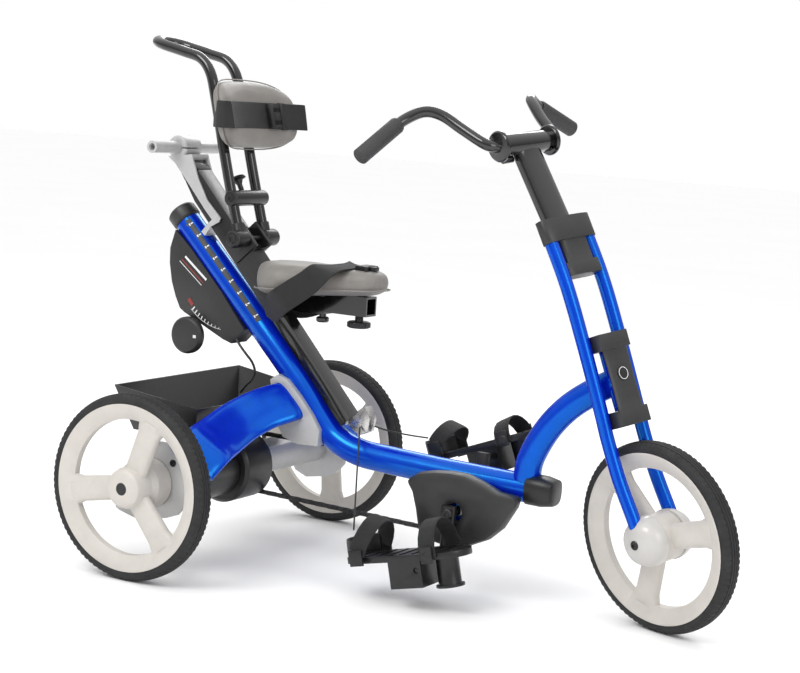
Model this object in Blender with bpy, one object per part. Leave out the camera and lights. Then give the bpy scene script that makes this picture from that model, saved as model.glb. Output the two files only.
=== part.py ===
"""Small adaptive tricycle, 12 inch wheels.

Metres, +Z up, +X to the front wheel, +Y to the rider's left. The design frame has its
origin on the ground under the rear axle. ORIGIN_X moves the finished tricycle so that
its bounding box is centred on the world origin.
"""
import math

import bmesh
import bpy
from mathutils import Matrix, Vector

# ---------------------------------------------------------------- driving dimensions
GAP = 0.0003              # clearance between touching pieces
ORIGIN_X = 0.35975        # middle of the tricycle's length, from the rear axle

WHEEL_R = 0.1525          # 12 inch tyre
TREAD_HALF = 0.004        # flat middle of the tread
TYRE_HALF = 0.0178
RIM_R = 0.139
RIM_SEAT_R = 0.1341       # under the tyre
RIM_INNER_R = 0.111
SPOKE_COUNT = 3
TRACK_HALF = 0.3047
WHEELBASE = 0.791
AXLE_Z = WHEEL_R
AXLE_R = 0.010
WHEEL_SEGMENTS = 40

STEER_TILT = math.radians(21.5)
STEER_TURN = math.radians(-20.7)    # the front wheel stands turned to the right
STEER_LEAN = math.asin(math.sin(-STEER_TURN) * math.sin(STEER_TILT))
FRONT_HUB_Z = WHEEL_R * math.cos(STEER_LEAN) + TREAD_HALF * math.sin(STEER_LEAN)
STEER_AXIS = Vector((-math.sin(STEER_TILT), 0.0, math.cos(STEER_TILT)))
FRONT_AXLE_R = 0.005
LEG_HALF = 0.0405         # fork legs, each side of the middle
LEG_R = 0.0111
LEG_AHEAD = -0.009        # the legs stand a little behind the steering axis
HEAD_LOW = 0.205          # head tube's ends, along the steering axis
HEAD_HIGH = 0.300
HEAD_R = 0.0140
SHAFT_R = 0.0065

MAIN_R = 0.0235           # main tube and boom
NECK_R = 0.0225
RAIL_HALF = 0.0178        # seat rail, half its width
RAIL_LOW = -0.022         # the rail's under side and top side, out from its own line
RAIL_HIGH = 0.001
RAIL_LENGTH = 0.538
RAIL_END = 0.020          # thick block at the rail's upper end
RAIL_ANGLE = math.radians(47.6)
RAIL_TOP = Vector((-0.1319, 0.0, 0.6607))
SLEEVE_HALF = 0.0205      # seat carriage, half its width
SLEEVE_HIGH = 0.018
CHEEK_HALF = 0.0262       # lugs of the carriage round the recline pin
CROSS_TUBE = Vector((-0.1480, 0.0, 0.6930))
CROSS_TUBE_R = 0.0105
COLLAR_HALF = 0.0330      # casting that holds the rear arch on the main tube
UPRIGHT_HALF = 0.038      # backrest tubes, each side of the middle
UPRIGHT_R = 0.0092
RECLINE_PIN_R = 0.0045
RECLINE_PIVOT = Vector((0.0055, 0.0, 0.5465))
CLAMP_MIDDLE = Vector((-0.0116, 0.0, 0.6145))
CLAMP_KNOB_Y = -0.008
CLAMP_KNOB_AXIS = (-0.45, 0.0, 0.893)

PAD_HALF = 0.112          # back pad
PAD_FRONT = -0.0075       # x of the pad's front face, in its middle
PAD_DEPTH = 0.034
PAD_LEVEL = 0.757
PAD_CURVE = 0.032         # how far the pad's sides come forwards
PAD_LEAN = 0.26           # the pad leans back with the uprights

SEAT_START = 0.0300       # saddle, from its rounded back to its nose
SEAT_LENGTH = 0.2470
SEAT_TOP = 0.5105
SEAT_UNDER = 0.4570       # under side at the back
SEAT_RISE = 0.0190        # how much higher the under side is at the nose
RECEIVER_KNOB = Vector((0.2280, 0.0, 0.4365))

CRANK_PIVOT = Vector((0.455, 0.0, 0.144))
CRANK_LENGTH = 0.075
PEDAL_Y = 0.1235
PEDAL_PIN_R = 0.0045
PEDAL_TILTS = {"right": math.radians(13.0), "left": math.radians(21.5)}     # toes up
STRAPS = {"right": (0.0200, 0.0480, 0.0580), "left": (0.0300, 0.0240, 0.0380)}
HANGER_R = 0.0205
HANGER_HALF = 0.0225
SPINDLE_R = 0.008
CHAIN_Y = 0.0295
CHAIN_HALF = 0.003
FRONT_SPROCKET_R = 0.054
REAR_SPROCKET_R = 0.0495

BRAKE_PIVOT = Vector((-0.1000, 0.0, 0.3680))
BAR_PIVOT = Vector((0.5001, 0.0, 0.7409))
BAR_R = 0.0093
STEM_HALF = 0.0262        # stem, half its width and half its depth
STEM_DEPTH = 0.0150
GRIP_R = 0.0135

# ------------------------------------------------------------------------- colours
PAINTS = {
    "blue_paint": ((0.012, 0.045, 0.62), 0.18, 0.45),
    "rim_plastic": ((0.62, 0.59, 0.56), 0.45, 0.0),
    "tyre_rubber": ((0.035, 0.035, 0.037), 0.8, 0.0),
    "grey_plastic": ((0.075, 0.075, 0.08), 0.45, 0.0),
    "black_plastic": ((0.02, 0.02, 0.021), 0.4, 0.0),
    "black_tube": ((0.022, 0.02, 0.02), 0.2, 0.3),
    "light_casting": ((0.55, 0.55, 0.55), 0.4, 0.3),
    "silver_metal": ((0.6, 0.6, 0.62), 0.3, 1.0),
    "dark_steel": ((0.06, 0.06, 0.065), 0.35, 0.8),
    "pad_foam": ((0.24, 0.225, 0.215), 0.6, 0.0),
    "webbing": ((0.018, 0.018, 0.019), 0.85, 0.0),
    "grip_rubber": ((0.085, 0.085, 0.09), 0.65, 0.0),
    "light_plastic": ((0.6, 0.59, 0.57), 0.4, 0.0),
}


def make_materials():
    made = {}
    for name, (colour, roughness, metallic) in PAINTS.items():
        material = bpy.data.materials.new(name)
        material.use_nodes = True
        shader = material.node_tree.nodes["Principled BSDF"]
        shader.inputs["Base Color"].default_value = (*colour, 1.0)
        shader.inputs["Roughness"].default_value = roughness
        shader.inputs["Metallic"].default_value = metallic
        made[name] = material
    return made


# --------------------------------------------------------------------- mesh helpers
def skin(rings, closed):
    """Joins rings of points into one body. A ring of one point is a pole."""
    mesh = bmesh.new()
    rows = [[mesh.verts.new(point) for point in ring] for ring in rings]
    pairs = list(zip(rows, rows[1:]))
    if closed:
        pairs.append((rows[-1], rows[0]))
    for low, high in pairs:
        count = max(len(low), len(high))
        for i in range(count):
            j = (i + 1) % count
            if len(low) == 1:
                mesh.faces.new((low[0], high[j], high[i]))
            elif len(high) == 1:
                mesh.faces.new((low[i], low[j], high[0]))
            else:
                mesh.faces.new((low[i], low[j], high[j], high[i]))
    if not closed:
        for row in (rows[0], rows[-1]):
            if len(row) > 2:
                mesh.faces.new(row)
    bmesh.ops.recalc_face_normals(mesh, faces=mesh.faces)
    return mesh


def axis_frame(axis):
    axis = Vector(axis).normalized()
    helper = Vector((0.0, 0.0, 1.0)) if abs(axis.z) < 0.9 else Vector((1.0, 0.0, 0.0))
    side = helper.cross(axis).normalized()
    return side, axis.cross(side), axis


def lathe(profile, centre=(0.0, 0.0, 0.0), axis=(0.0, 1.0, 0.0), segments=24):
    """Turns (radius, height) points round an axis. Radius 0 makes a pole."""
    side, up, axis = axis_frame(axis)
    rings = []
    for radius, height in profile:
        middle = Vector(centre) + axis * height
        if radius < 1e-6:
            rings.append([middle])
            continue
        ring = []
        for i in range(segments):
            angle = 2.0 * math.pi * i / segments
            ring.append(middle + radius * (math.cos(angle) * side + math.sin(angle) * up))
        rings.append(ring)
    return skin(rings, closed=profile[0][0] > 1e-6)


def disc(radius, low, high, centre=(0.0, 0.0, 0.0), axis=(0.0, 1.0, 0.0), segments=24, edge=0.0):
    """A solid cylinder between two heights on its axis, with chamfered rims."""
    profile = [(0.0, low), (radius - edge, low), (radius, low + edge),
               (radius, high - edge), (radius - edge, high), (0.0, high)]
    if edge == 0.0:
        profile = [(0.0, low), (radius, low), (radius, high), (0.0, high)]
    return lathe(profile, centre, axis, segments)


def smooth_path(points, steps):
    """A smooth curve through the points, with steps between neighbours."""
    points = [Vector(p) for p in points]
    ends = [2 * points[0] - points[1]] + points + [2 * points[-1] - points[-2]]
    path = []
    for a, b, c, d in zip(ends, ends[1:], ends[2:], ends[3:]):
        for k in range(steps):
            t = k / steps
            path.append(0.5 * (2 * b + (c - a) * t + (2 * a - 5 * b + 4 * c - d) * t * t
                               + (3 * b - a - 3 * c + d) * t ** 3))
    path.append(points[-1])
    return path


def oval(width, depth, sides, power=2.0):
    """Points of an oval section: width along the side axis, depth along the up axis."""
    section = []
    for i in range(sides):
        angle = 2.0 * math.pi * (i + 0.5) / sides
        c, s = math.cos(angle), math.sin(angle)
        section.append((width * math.copysign(abs(c) ** (2.0 / power), c),
                        depth * math.copysign(abs(s) ** (2.0 / power), s)))
    return section


def sweep(path, section, side=(0.0, 1.0, 0.0), scale=None, closed=False, reach=0.0):
    """Carries a section of (side, up) points along a path without twisting it. side may
    also be a list with one direction per point. reach lengthens both ends."""
    path = [Vector(p) for p in path]
    if reach:
        path[0] = path[0] + (path[0] - path[1]).normalized() * reach
        path[-1] = path[-1] + (path[-1] - path[-2]).normalized() * reach
    count = len(path)
    sides = side if isinstance(side, list) else None
    side = Vector(sides[0] if sides else side)
    rings = []
    for i, point in enumerate(path):
        if closed:
            ahead, behind = path[(i + 1) % count], path[i - 1]
        else:
            ahead, behind = path[min(i + 1, count - 1)], path[max(i - 1, 0)]
        tangent = (ahead - behind).normalized()
        if sides:
            side = Vector(sides[i])
        side = (side - tangent * side.dot(tangent)).normalized()
        up = tangent.cross(side)
        wide, deep = scale[i] if scale else (1.0, 1.0)
        rings.append([point + side * (u * wide) + up * (v * deep) for u, v in section])
    return skin(rings, closed)


def prism(outline, low, high, axis="Y"):
    """Extrudes a closed outline. Along Y it holds (x, z) points, along Z (x, y) ones."""
    rings = []
    for level in (low, high):
        if axis == "Y":
            rings.append([(a, level, b) for a, b in outline])
        elif axis == "Z":
            rings.append([(a, b, level) for a, b in outline])
        else:
            rings.append([(level, a, b) for a, b in outline])
    return skin(rings, closed=False)


def block(low, high):
    return prism([(low[0], low[2]), (high[0], low[2]), (high[0], high[2]), (low[0], high[2])],
                 low[1], high[1])


def placed(mesh, matrix):
    bmesh.ops.transform(mesh, matrix=matrix, verts=mesh.verts)
    return mesh


# ------------------------------------------------------------------- scene assembly
class Assembly:
    """Keeps one parent empty per moving body, each on its joint axis."""

    def __init__(self):
        self.materials = make_materials()
        self.empties = {}
        self.pivots = {}

    def body(self, name, pivot=(0.0, 0.0, 0.0), parent=None, turn=None):
        empty = bpy.data.objects.new("axis_" + name, None)
        bpy.context.scene.collection.objects.link(empty)
        pivot = Vector(pivot)
        if parent:
            empty.parent = self.empties[parent]
            location = pivot - self.pivots[parent]
        else:
            location = pivot - Vector((ORIGIN_X, 0.0, 0.0))
        matrix = Matrix.Translation(location)
        if turn:
            matrix = matrix @ Matrix.Rotation(turn[0], 4, Vector(turn[1]))
        empty.matrix_basis = matrix
        self.empties[name] = empty
        self.pivots[name] = pivot

    def place(self, name, mesh, body, cutter=False):
        bmesh.ops.translate(mesh, vec=-self.pivots[body], verts=mesh.verts)
        data = bpy.data.meshes.new(name)
        mesh.to_mesh(data)
        mesh.free()
        data.shade_smooth()
        data.set_sharp_from_angle(angle=math.radians(35.0))
        piece = bpy.data.objects.new(name, data)
        bpy.context.scene.collection.objects.link(piece)
        piece.parent = self.empties[body]
        if cutter:
            piece.hide_render = True
            piece.display_type = "WIRE"
        return piece

    def add(self, name, material, body, mesh, joined=(), cut=(), round_edges=None):
        """One named sub-part. joined solids are merged in, cut solids are taken out."""
        piece = self.place(name, mesh, body)
        piece.data.materials.append(self.materials[material])
        for kind, meshes in (("UNION", joined), ("DIFFERENCE", cut)):
            for number, tool in enumerate(meshes):
                helper = self.place(f"{kind.lower()}_{number}_{name}"[:58], tool, body, cutter=True)
                boolean = piece.modifiers.new(kind.title(), "BOOLEAN")
                boolean.operation = kind
                boolean.solver = "EXACT"
                boolean.object = helper
        if round_edges:
            bevel = piece.modifiers.new("Rounding", "BEVEL")
            bevel.width, bevel.segments = round_edges
            bevel.limit_method = "ANGLE"
        return piece


def mirror_y(point):
    return (point[0], -point[1], point[2])


# --------------------------------------------------------------------------- wheels
def tyre_profile():
    half = [(WHEEL_R, TREAD_HALF), (0.1496, 0.0135), (0.1425, TYRE_HALF), (0.1375, 0.0160),
            (0.1345, 0.0130)]
    return half + [(r, -h) for r, h in reversed(half)]


def rim_profile():
    """The rim's ring: the outer faces dish inwards to the spokes."""
    half = [(RIM_SEAT_R, 0.0125), (0.1370 - GAP, 0.0163), (0.1335, 0.0168), (RIM_INNER_R, 0.0060)]
    return half + [(r, -h) for r, h in reversed(half)]


def spoke(centre, angle, width=0.021, depth=0.011):
    """A broad rounded spoke in the wheel's plane, flared where it meets the rim."""
    centre = Vector(centre)
    direction = Vector((math.cos(angle), 0.0, math.sin(angle)))
    stations = (0.012, 0.035, 0.095, 0.116)
    scale = [(1.0, 0.9), (1.0, 0.95), (1.0, 1.0), (0.85, 1.35)]
    return sweep([centre + direction * r for r in stations], oval(depth, width, 8, 2.6),
                 side=(0.0, 1.0, 0.0), scale=scale)


def add_wheel(trike, label, centre, body, hub_profile, first_angle, hub_bore):
    centre = Vector(centre)
    trike.add(label + "_tyre", "tyre_rubber", body,
              lathe(tyre_profile(), centre, segments=WHEEL_SEGMENTS))
    spokes = [spoke(centre, first_angle + 2.0 * math.pi * i / SPOKE_COUNT)
              for i in range(SPOKE_COUNT)]
    hub = lathe(hub_profile, centre, segments=24)
    trike.add(label + "_rim", "rim_plastic", body,
              lathe(rim_profile(), centre, segments=WHEEL_SEGMENTS),
              joined=spokes + [hub], cut=[disc(hub_bore, -0.08, 0.08, centre, segments=16)])


def add_rear_wheel(trike, label, side, body, first_angle):
    """side is -1 on the rider's right and +1 on the left. The hub boss faces outwards."""
    y = side * TRACK_HALF
    hub = [(0.0, side * 0.0255), (0.024, side * 0.0255), (0.031, side * 0.021),
           (0.034, side * 0.010), (0.034, -side * 0.012), (0.041, -side * 0.020),
           (0.041, -side * 0.054), (0.0, -side * 0.054)]
    add_wheel(trike, label, (0.0, y, AXLE_Z), body, hub, first_angle, AXLE_R + GAP)


# ---------------------------------------------------------------------------- frame
def main_path():
    bend = [(0.0733, 0.3575), (0.1300, 0.2990), (0.1640, 0.2560), (0.1960, 0.2240),
            (0.2420, 0.2060), (0.3000, 0.2010), (0.4000, 0.1965)]
    path = smooth_path([(x, 0.0, z) for x, z in bend], 2)
    return [Vector((-0.1325, 0.0, 0.5629))] + path + [Vector((0.5660, 0.0, 0.1932))]


def neck_path():
    points = [(0.5580, 0.2060), (0.5640, 0.2440), (0.5890, 0.2930), (0.6230, 0.3330),
              (0.6640, 0.3640), (0.6980, 0.3840)]
    return smooth_path([(x, 0.0, z) for x, z in points], 3)


def steer_point(height, ahead=0.0, y=0.0):
    """A point of the straight steering frame, from its height along the steering axis."""
    forward = Vector((math.cos(STEER_TILT), 0.0, math.sin(STEER_TILT)))
    base = Vector((WHEELBASE, 0.0, FRONT_HUB_Z))
    point = base + STEER_AXIS * height + forward * ahead
    return Vector((point.x, y, point.z))


def rail_point(along, out=0.0, y=0.0):
    """A point of the seat rail's own frame: along it from the top, and out from it."""
    run = Vector((math.cos(RAIL_ANGLE), 0.0, -math.sin(RAIL_ANGLE)))
    rise = Vector((math.sin(RAIL_ANGLE), 0.0, math.cos(RAIL_ANGLE)))
    point = RAIL_TOP + run * along + rise * out
    return Vector((point.x, y, point.z))


def rail_prism(outline, half):
    """A block lying along the seat rail, from an outline of (along, out) points."""
    points = [rail_point(along, out) for along, out in outline]
    return prism([(p.x, p.z) for p in points], -half, half)


def rail_box(along0, along1, out0, out1, half):
    return rail_prism([(along0, out0), (along1, out0), (along1, out1), (along0, out1)], half)


def add_frame(trike):
    path = main_path()
    neck = neck_path()
    last = len(neck) - 1
    scale = [(1.0 - 0.36 * i / last, 1.0 - 0.05 * i / last) for i in range(last + 1)]
    hanger = disc(HANGER_R, -HANGER_HALF, HANGER_HALF, CRANK_PIVOT, segments=20)
    stand = block((CRANK_PIVOT.x - 0.018, -0.012, CRANK_PIVOT.z + 0.010),
                  (CRANK_PIVOT.x + 0.018, 0.012, CRANK_PIVOT.z + 0.045))
    trike.add("main_frame", "blue_paint", "root", sweep(path, oval(MAIN_R, MAIN_R, 14)),
              joined=[sweep(neck, oval(NECK_R, NECK_R, 12), scale=scale),
                      head_tube_solid(HEAD_R, 0.0), hanger, stand],
              cut=[head_tube_solid(SHAFT_R + GAP, 0.02),
                   disc(SPINDLE_R + GAP, -0.1, 0.1, CRANK_PIVOT, segments=16)])
    top = path[0]
    down = (path[1] - path[0]).normalized()
    trike.add("main_tube_cap", "grey_plastic", "root",
              disc(0.0262, GAP, 0.027, top, -down, 20, 0.004))
    tip = path[-1]
    ahead = (path[-1] - path[-2]).normalized()
    trike.add("boom_end_cap", "black_plastic", "root",
              sweep([tip + ahead * s for s in (GAP, 0.026, 0.045)], oval(0.0262, 0.0245, 12, 3.0),
                    scale=[(1, 1), (1, 1), (0.9, 0.85)]),
              cut=[sweep(neck, oval(NECK_R + GAP, NECK_R + GAP, 12), scale=scale, reach=GAP)])
    trike.add("seat_rail", "black_tube", "root",
              rail_prism([(0.002, -0.0133), (0.060, RAIL_LOW), (RAIL_LENGTH, RAIL_LOW),
                          (RAIL_LENGTH, RAIL_HIGH), (0.002, RAIL_HIGH)], RAIL_HALF),
              joined=[rail_prism([(0.0, -0.0125), (RAIL_END, -0.0155), (RAIL_END, SLEEVE_HIGH),
                                  (0.0, SLEEVE_HIGH)], SLEEVE_HALF)],
              cut=[main_clearance()])


def main_clearance():
    """The main tube's own path, a clearance fatter."""
    return sweep(main_path(), oval(MAIN_R + GAP, MAIN_R + GAP, 14), reach=GAP)


def head_tube_solid(radius, extra):
    low = steer_point(HEAD_LOW - extra)
    high = steer_point(HEAD_HIGH + extra)
    return sweep([low, high], oval(radius, radius, 16))


def collar_outline():
    return [(0.078, 0.312), (0.092, 0.322), (0.112, 0.316), (0.140, 0.290), (0.165, 0.262),
            (0.182, 0.238), (0.180, 0.2105), (0.140, 0.2085), (0.110, 0.2170), (0.095, 0.240)]


def arch_points():
    """The rear arch's middle line, from the middle out over the axle housing."""
    return [(0.1190, 0.0200, 0.2815), (0.1170, 0.0350, 0.2790), (0.0935, 0.0700, 0.2670),
            (0.0760, 0.1150, 0.2480), (0.0740, 0.1700, 0.2280), (0.0790, 0.2100, 0.2180),
            (0.0720, 0.2420, 0.1950)]


def arch_solid(grow):
    """The wide curved band from one axle plate up over the middle to the other."""
    half = smooth_path(arch_points(), 2)
    right = [mirror_y(p) for p in reversed(half)]
    flare = [1.0 + 0.25 * i / (len(half) - 1) for i in range(len(half))]
    widths = [(w, 1.0) for w in list(reversed(flare)) + flare]
    slope = Vector((1.0, 0.0, -1.0)).normalized()
    return sweep(right + half, oval(0.036 + grow, 0.0095 + grow, 14, 3.2), side=slope, scale=widths)


def add_rear_frame(trike):
    trike.add("arch_collar", "light_casting", "root",
              prism(collar_outline(), -COLLAR_HALF, COLLAR_HALF),
              cut=[main_clearance(), arch_solid(2 * GAP)])
    trike.add("rear_arch", "blue_paint", "root", arch_solid(0.0), cut=[main_clearance()])
    plate = [(0.010, 0.221), (0.025, 0.221), (0.052, 0.196), (0.070, 0.160), (0.069, 0.125),
             (0.052, 0.105), (0.031, 0.097), (-0.010, 0.090), (-0.035, 0.100), (-0.052, 0.130),
             (-0.050, 0.165), (-0.030, 0.200)]
    arm = prism([(-0.065, 0.113), (-0.073, 0.109), (-0.073, 0.099), (-0.065, 0.095), (-0.020, 0.084),
                 (-0.020, 0.104)], -0.2490, -0.2450)
    drum = disc(0.030, 0.048, 0.2420, (0, 0, AXLE_Z), segments=20, edge=0.004)
    for label, side, extra in (("right", -1, arm), ("left", 1, drum)):
        low, high = sorted((side * 0.2400, side * 0.2490))
        trike.add(f"{label}_axle_plate", "light_casting", "root",
                  prism(plate, low, high), joined=[extra],
                  cut=[axle_clearance(), arch_solid(2 * GAP)])
    trike.add("axle_housing", "black_plastic", "root",
              disc(0.046, -0.2390, -0.0580, (0, 0, AXLE_Z - 0.003), segments=24, edge=0.006),
              joined=[disc(0.060, -0.0590, 0.0225, (0, 0, AXLE_Z - 0.003), segments=28, edge=0.006)],
              cut=[axle_clearance(),
                   prism(collar_outline(), -COLLAR_HALF - GAP, COLLAR_HALF + GAP),
                   arch_solid(GAP)])


def axle_clearance():
    return disc(AXLE_R + 2 * GAP, -0.3, 0.3, (0, 0, AXLE_Z), segments=16)


def add_basket(trike):
    """Open tray with flared sides, between the rear wheels and behind the arch."""
    floor = [(-0.1150, -0.1550, 0.2130), (0.0080, -0.1500, 0.2130), (0.0080, 0.1500, 0.2130),
             (-0.1150, 0.1550, 0.2130)]
    top = [(-0.1370, -0.1850, 0.2910), (0.0320, -0.1750, 0.2690), (0.0320, 0.1750, 0.2690),
           (-0.1370, 0.1850, 0.2910)]
    wall = 0.003
    inner_floor = [(x + math.copysign(wall, -0.05 - x), y - math.copysign(wall, y), z + wall)
                   for x, y, z in floor]
    inner_top = [(x + math.copysign(wall, -0.05 - x), y - math.copysign(wall, y), z) for x, y, z in top]
    trike.add("basket", "black_plastic", "root", skin([inner_floor, inner_top, top, floor], False))


def add_cord(trike, name, material, radius, route, steps):
    """A round cord along a smooth curve through its route, with closed ends."""
    curve = bpy.data.curves.new(name, "CURVE")
    curve.dimensions = "3D"
    curve.bevel_depth = radius
    curve.bevel_resolution = 2
    curve.render_resolution_u = 0
    curve.use_fill_caps = True
    points = smooth_path(route, steps)
    spline = curve.splines.new("POLY")
    spline.points.add(len(points) - 1)
    for slot, point in zip(spline.points, points):
        slot.co = (*point, 1.0)
    curve.materials.append(trike.materials[material])
    cord = bpy.data.objects.new(name, curve)
    bpy.context.scene.collection.objects.link(cord)
    cord.parent = trike.empties["root"]


def add_brake_cable(trike):
    """Brake cable from the lever housing down behind the rear arch."""
    route = [(0.0000, -0.0262, 0.3720), (0.0090, -0.0280, 0.3620), (0.0220, -0.0290, 0.3500),
             (0.0360, -0.0280, 0.3360), (0.0420, -0.0270, 0.3200), (0.0360, -0.0260, 0.3050),
             (0.0250, -0.0250, 0.2950), (0.0120, -0.0240, 0.2800)]
    add_cord(trike, "brake_cable", "black_plastic", 0.0022, route, 4)


def add_brake_housing(trike):
    outline = [(-0.1435, 0.5487), (-0.1532, 0.5162), (-0.1528, 0.4903), (-0.1463, 0.4572),
               (-0.1367, 0.4322), (-0.1264, 0.4127), (-0.1169, 0.4063), (-0.0310, 0.3676),
               (-0.0129, 0.3623), (0.0121, 0.3892), (-0.0400, 0.4500), (-0.1100, 0.5200)]
    trike.add("brake_housing", "grey_plastic", "root", prism(outline, -0.0230, 0.0230),
              cut=[main_clearance()], round_edges=(0.006, 2))
    trike.add("brake_knob", "grey_plastic", "brake_knob",
              disc(0.0325, -0.0400, -0.0233, BRAKE_PIVOT, segments=24, edge=0.004))


# ----------------------------------------------------------------------- drive train
def ring_arc(centre, radius, start, end, count):
    points = []
    for i in range(count + 1):
        angle = start + (end - start) * i / count
        points.append((centre.x + radius * math.cos(angle), centre.z + radius * math.sin(angle)))
    return points


def chain_outline(grow):
    """The chain's loop round both sprockets, grown outwards by a margin."""
    rear = Vector((0.0, 0.0, AXLE_Z))
    run = CRANK_PIVOT - rear
    tilt = math.atan2(run.z, run.x)
    open_angle = math.asin((FRONT_SPROCKET_R - REAR_SPROCKET_R) / run.length)
    upper = tilt + math.pi / 2 + open_angle
    lower = tilt - math.pi / 2 - open_angle
    front = ring_arc(CRANK_PIVOT, FRONT_SPROCKET_R + grow, lower, upper, 12)
    back = ring_arc(rear, REAR_SPROCKET_R + grow, upper, lower + 2 * math.pi, 12)
    return front + back


def add_drive(trike):
    outer, inner = chain_outline(0.0035), chain_outline(0.0006)
    low, high = CHAIN_Y - CHAIN_HALF, CHAIN_Y + CHAIN_HALF
    rings = [[(x, y, z) for x, z in points]
             for points, y in ((inner, low), (outer, low), (outer, high), (inner, high))]
    trike.add("chain", "dark_steel", "root", skin(rings, closed=True))
    case = [(0.3640, 0.1840), (0.3880, 0.2000), (0.4160, 0.2060), (0.4450, 0.2090),
            (0.4740, 0.2080), (0.5050, 0.1990), (0.5330, 0.1880), (0.5680, 0.1850),
            (0.5640, 0.1680), (0.5420, 0.1300), (0.5180, 0.1080), (0.4860, 0.0930),
            (0.4500, 0.0860), (0.4140, 0.0900), (0.3930, 0.1050), (0.3850, 0.1400),
            (0.3770, 0.1660)]
    trike.add("chain_case", "grey_plastic", "root", prism(case, -0.0540, -0.0250),
              cut=[disc(0.0150, -0.1, 0.1, CRANK_PIVOT, segments=20)], round_edges=(0.008, 2))
    trike.add("crank_spindle", "silver_metal", "crank",
              disc(SPINDLE_R, -0.0700, 0.0480, CRANK_PIVOT, segments=16),
              joined=[disc(FRONT_SPROCKET_R, CHAIN_Y - 0.002, CHAIN_Y + 0.002, CRANK_PIVOT,
                           segments=32)])
    end = TRACK_HALF + 0.019
    trike.add("rear_axle", "silver_metal", "drive_axle",
              disc(AXLE_R, -end, end, (0, 0, AXLE_Z), segments=16),
              joined=[disc(REAR_SPROCKET_R, CHAIN_Y - 0.002, CHAIN_Y + 0.002, (0, 0, AXLE_Z),
                           segments=32)])


def add_crank_side(trike, label, side):
    """Crank arm, pedal and footplate on one side. The right arm hangs down."""
    down = side
    pin = CRANK_PIVOT + Vector((0.0, 0.0, down * CRANK_LENGTH))
    arm_in, arm_out = (0.0562, 0.0700) if side < 0 else (0.0340, 0.0480)
    root_y = side * (arm_in + arm_out) / 2
    arm = sweep([(CRANK_PIVOT.x, root_y, CRANK_PIVOT.z - down * 0.013),
                 (CRANK_PIVOT.x, root_y, CRANK_PIVOT.z + down * 0.025),
                 (pin.x, root_y + side * 0.006, pin.z + down * 0.011)],
                oval((arm_out - arm_in) / 2, 0.0125, 8, 3.0),
                scale=[(1.0, 1.0), (1.0, 0.85), (1.0, 0.85)])
    bore = disc(SPINDLE_R + GAP, -0.1, 0.1, CRANK_PIVOT, segments=16)
    trike.add(f"{label}_crank_arm", "black_plastic", "crank", arm,
              joined=[disc(PEDAL_PIN_R, arm_in + 0.010, 0.1600, pin, (0, side, 0), 12)], cut=[bore])

    body = f"{label}_pedal"
    trike.body(body, pin, "crank", turn=(-PEDAL_TILTS[label], (0.0, 1.0, 0.0)))
    y_in, y_out = sorted((side * 0.0850, side * 0.1620))
    base = pin.z + 0.0150
    middle = side * PEDAL_Y
    trike.add(f"{label}_footplate", "black_plastic", body,
              prism(foot_outline(pin.x, middle), base, base + 0.0100, "Z"),
              joined=[block((pin.x - 0.0500, y_in, pin.z - 0.0280), (pin.x + 0.0090, y_out, base + 0.001)),
                      lathe([(0.0, -0.0335), (0.0230, -0.0335), (0.0230, -0.0295), (0.0185, -0.0295),
                             (0.0185, 0.0180), (0.0, 0.0180)],
                            (pin.x + 0.0370, middle, pin.z), (0, 0, 1), 16),
                      sweep(heel_path(pin.x, middle, base + 0.0240),
                            oval(0.0026, 0.0150, 8, 4.0))],
              cut=[disc(PEDAL_PIN_R + GAP, -0.3, 0.3, pin, segments=12)])
    heel_foot, heel_rise, toe_rise = STRAPS[label]
    for part, x, lean, half, foot, rise in (
            ("heel_strap", pin.x - 0.1020, 0.0260, 0.0425, heel_foot, heel_rise),
            ("toe_strap", pin.x + 0.0280, -0.0060, 0.0442, 0.0020, toe_rise)):
        hoop = []
        for i in range(11):
            angle = math.pi * i / 10
            hoop.append((x + lean * math.sin(angle), middle - half * math.cos(angle),
                         base + foot + rise * math.sin(angle)))
        trike.add(f"{label}_{part}", "webbing", body,
                  sweep(hoop, oval(0.0150, 0.0012, 8, 5.0), side=(1, 0, 0)))


def foot_outline(x, y):
    """Sole-shaped plate: a round heel, a waist and a broad toe."""
    half = [(-0.1380, 0.012), (-0.1300, 0.028), (-0.1100, 0.036), (-0.0700, 0.0385), (0.0150, 0.0410),
            (0.0500, 0.0380), (0.0700, 0.0250), (0.0780, 0.009)]
    right = [(x + a, y - b) for a, b in half]
    left = [(x + a, y + b) for a, b in reversed(half)]
    return right + left


def heel_path(x, y, z):
    """Low wall round the back of the heel."""
    points = []
    for i in range(9):
        angle = math.radians(95.0 + 170.0 * i / 8)
        points.append((x - 0.1000 + 0.0365 * math.cos(angle), y + 0.0365 * math.sin(angle), z))
    return points


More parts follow.
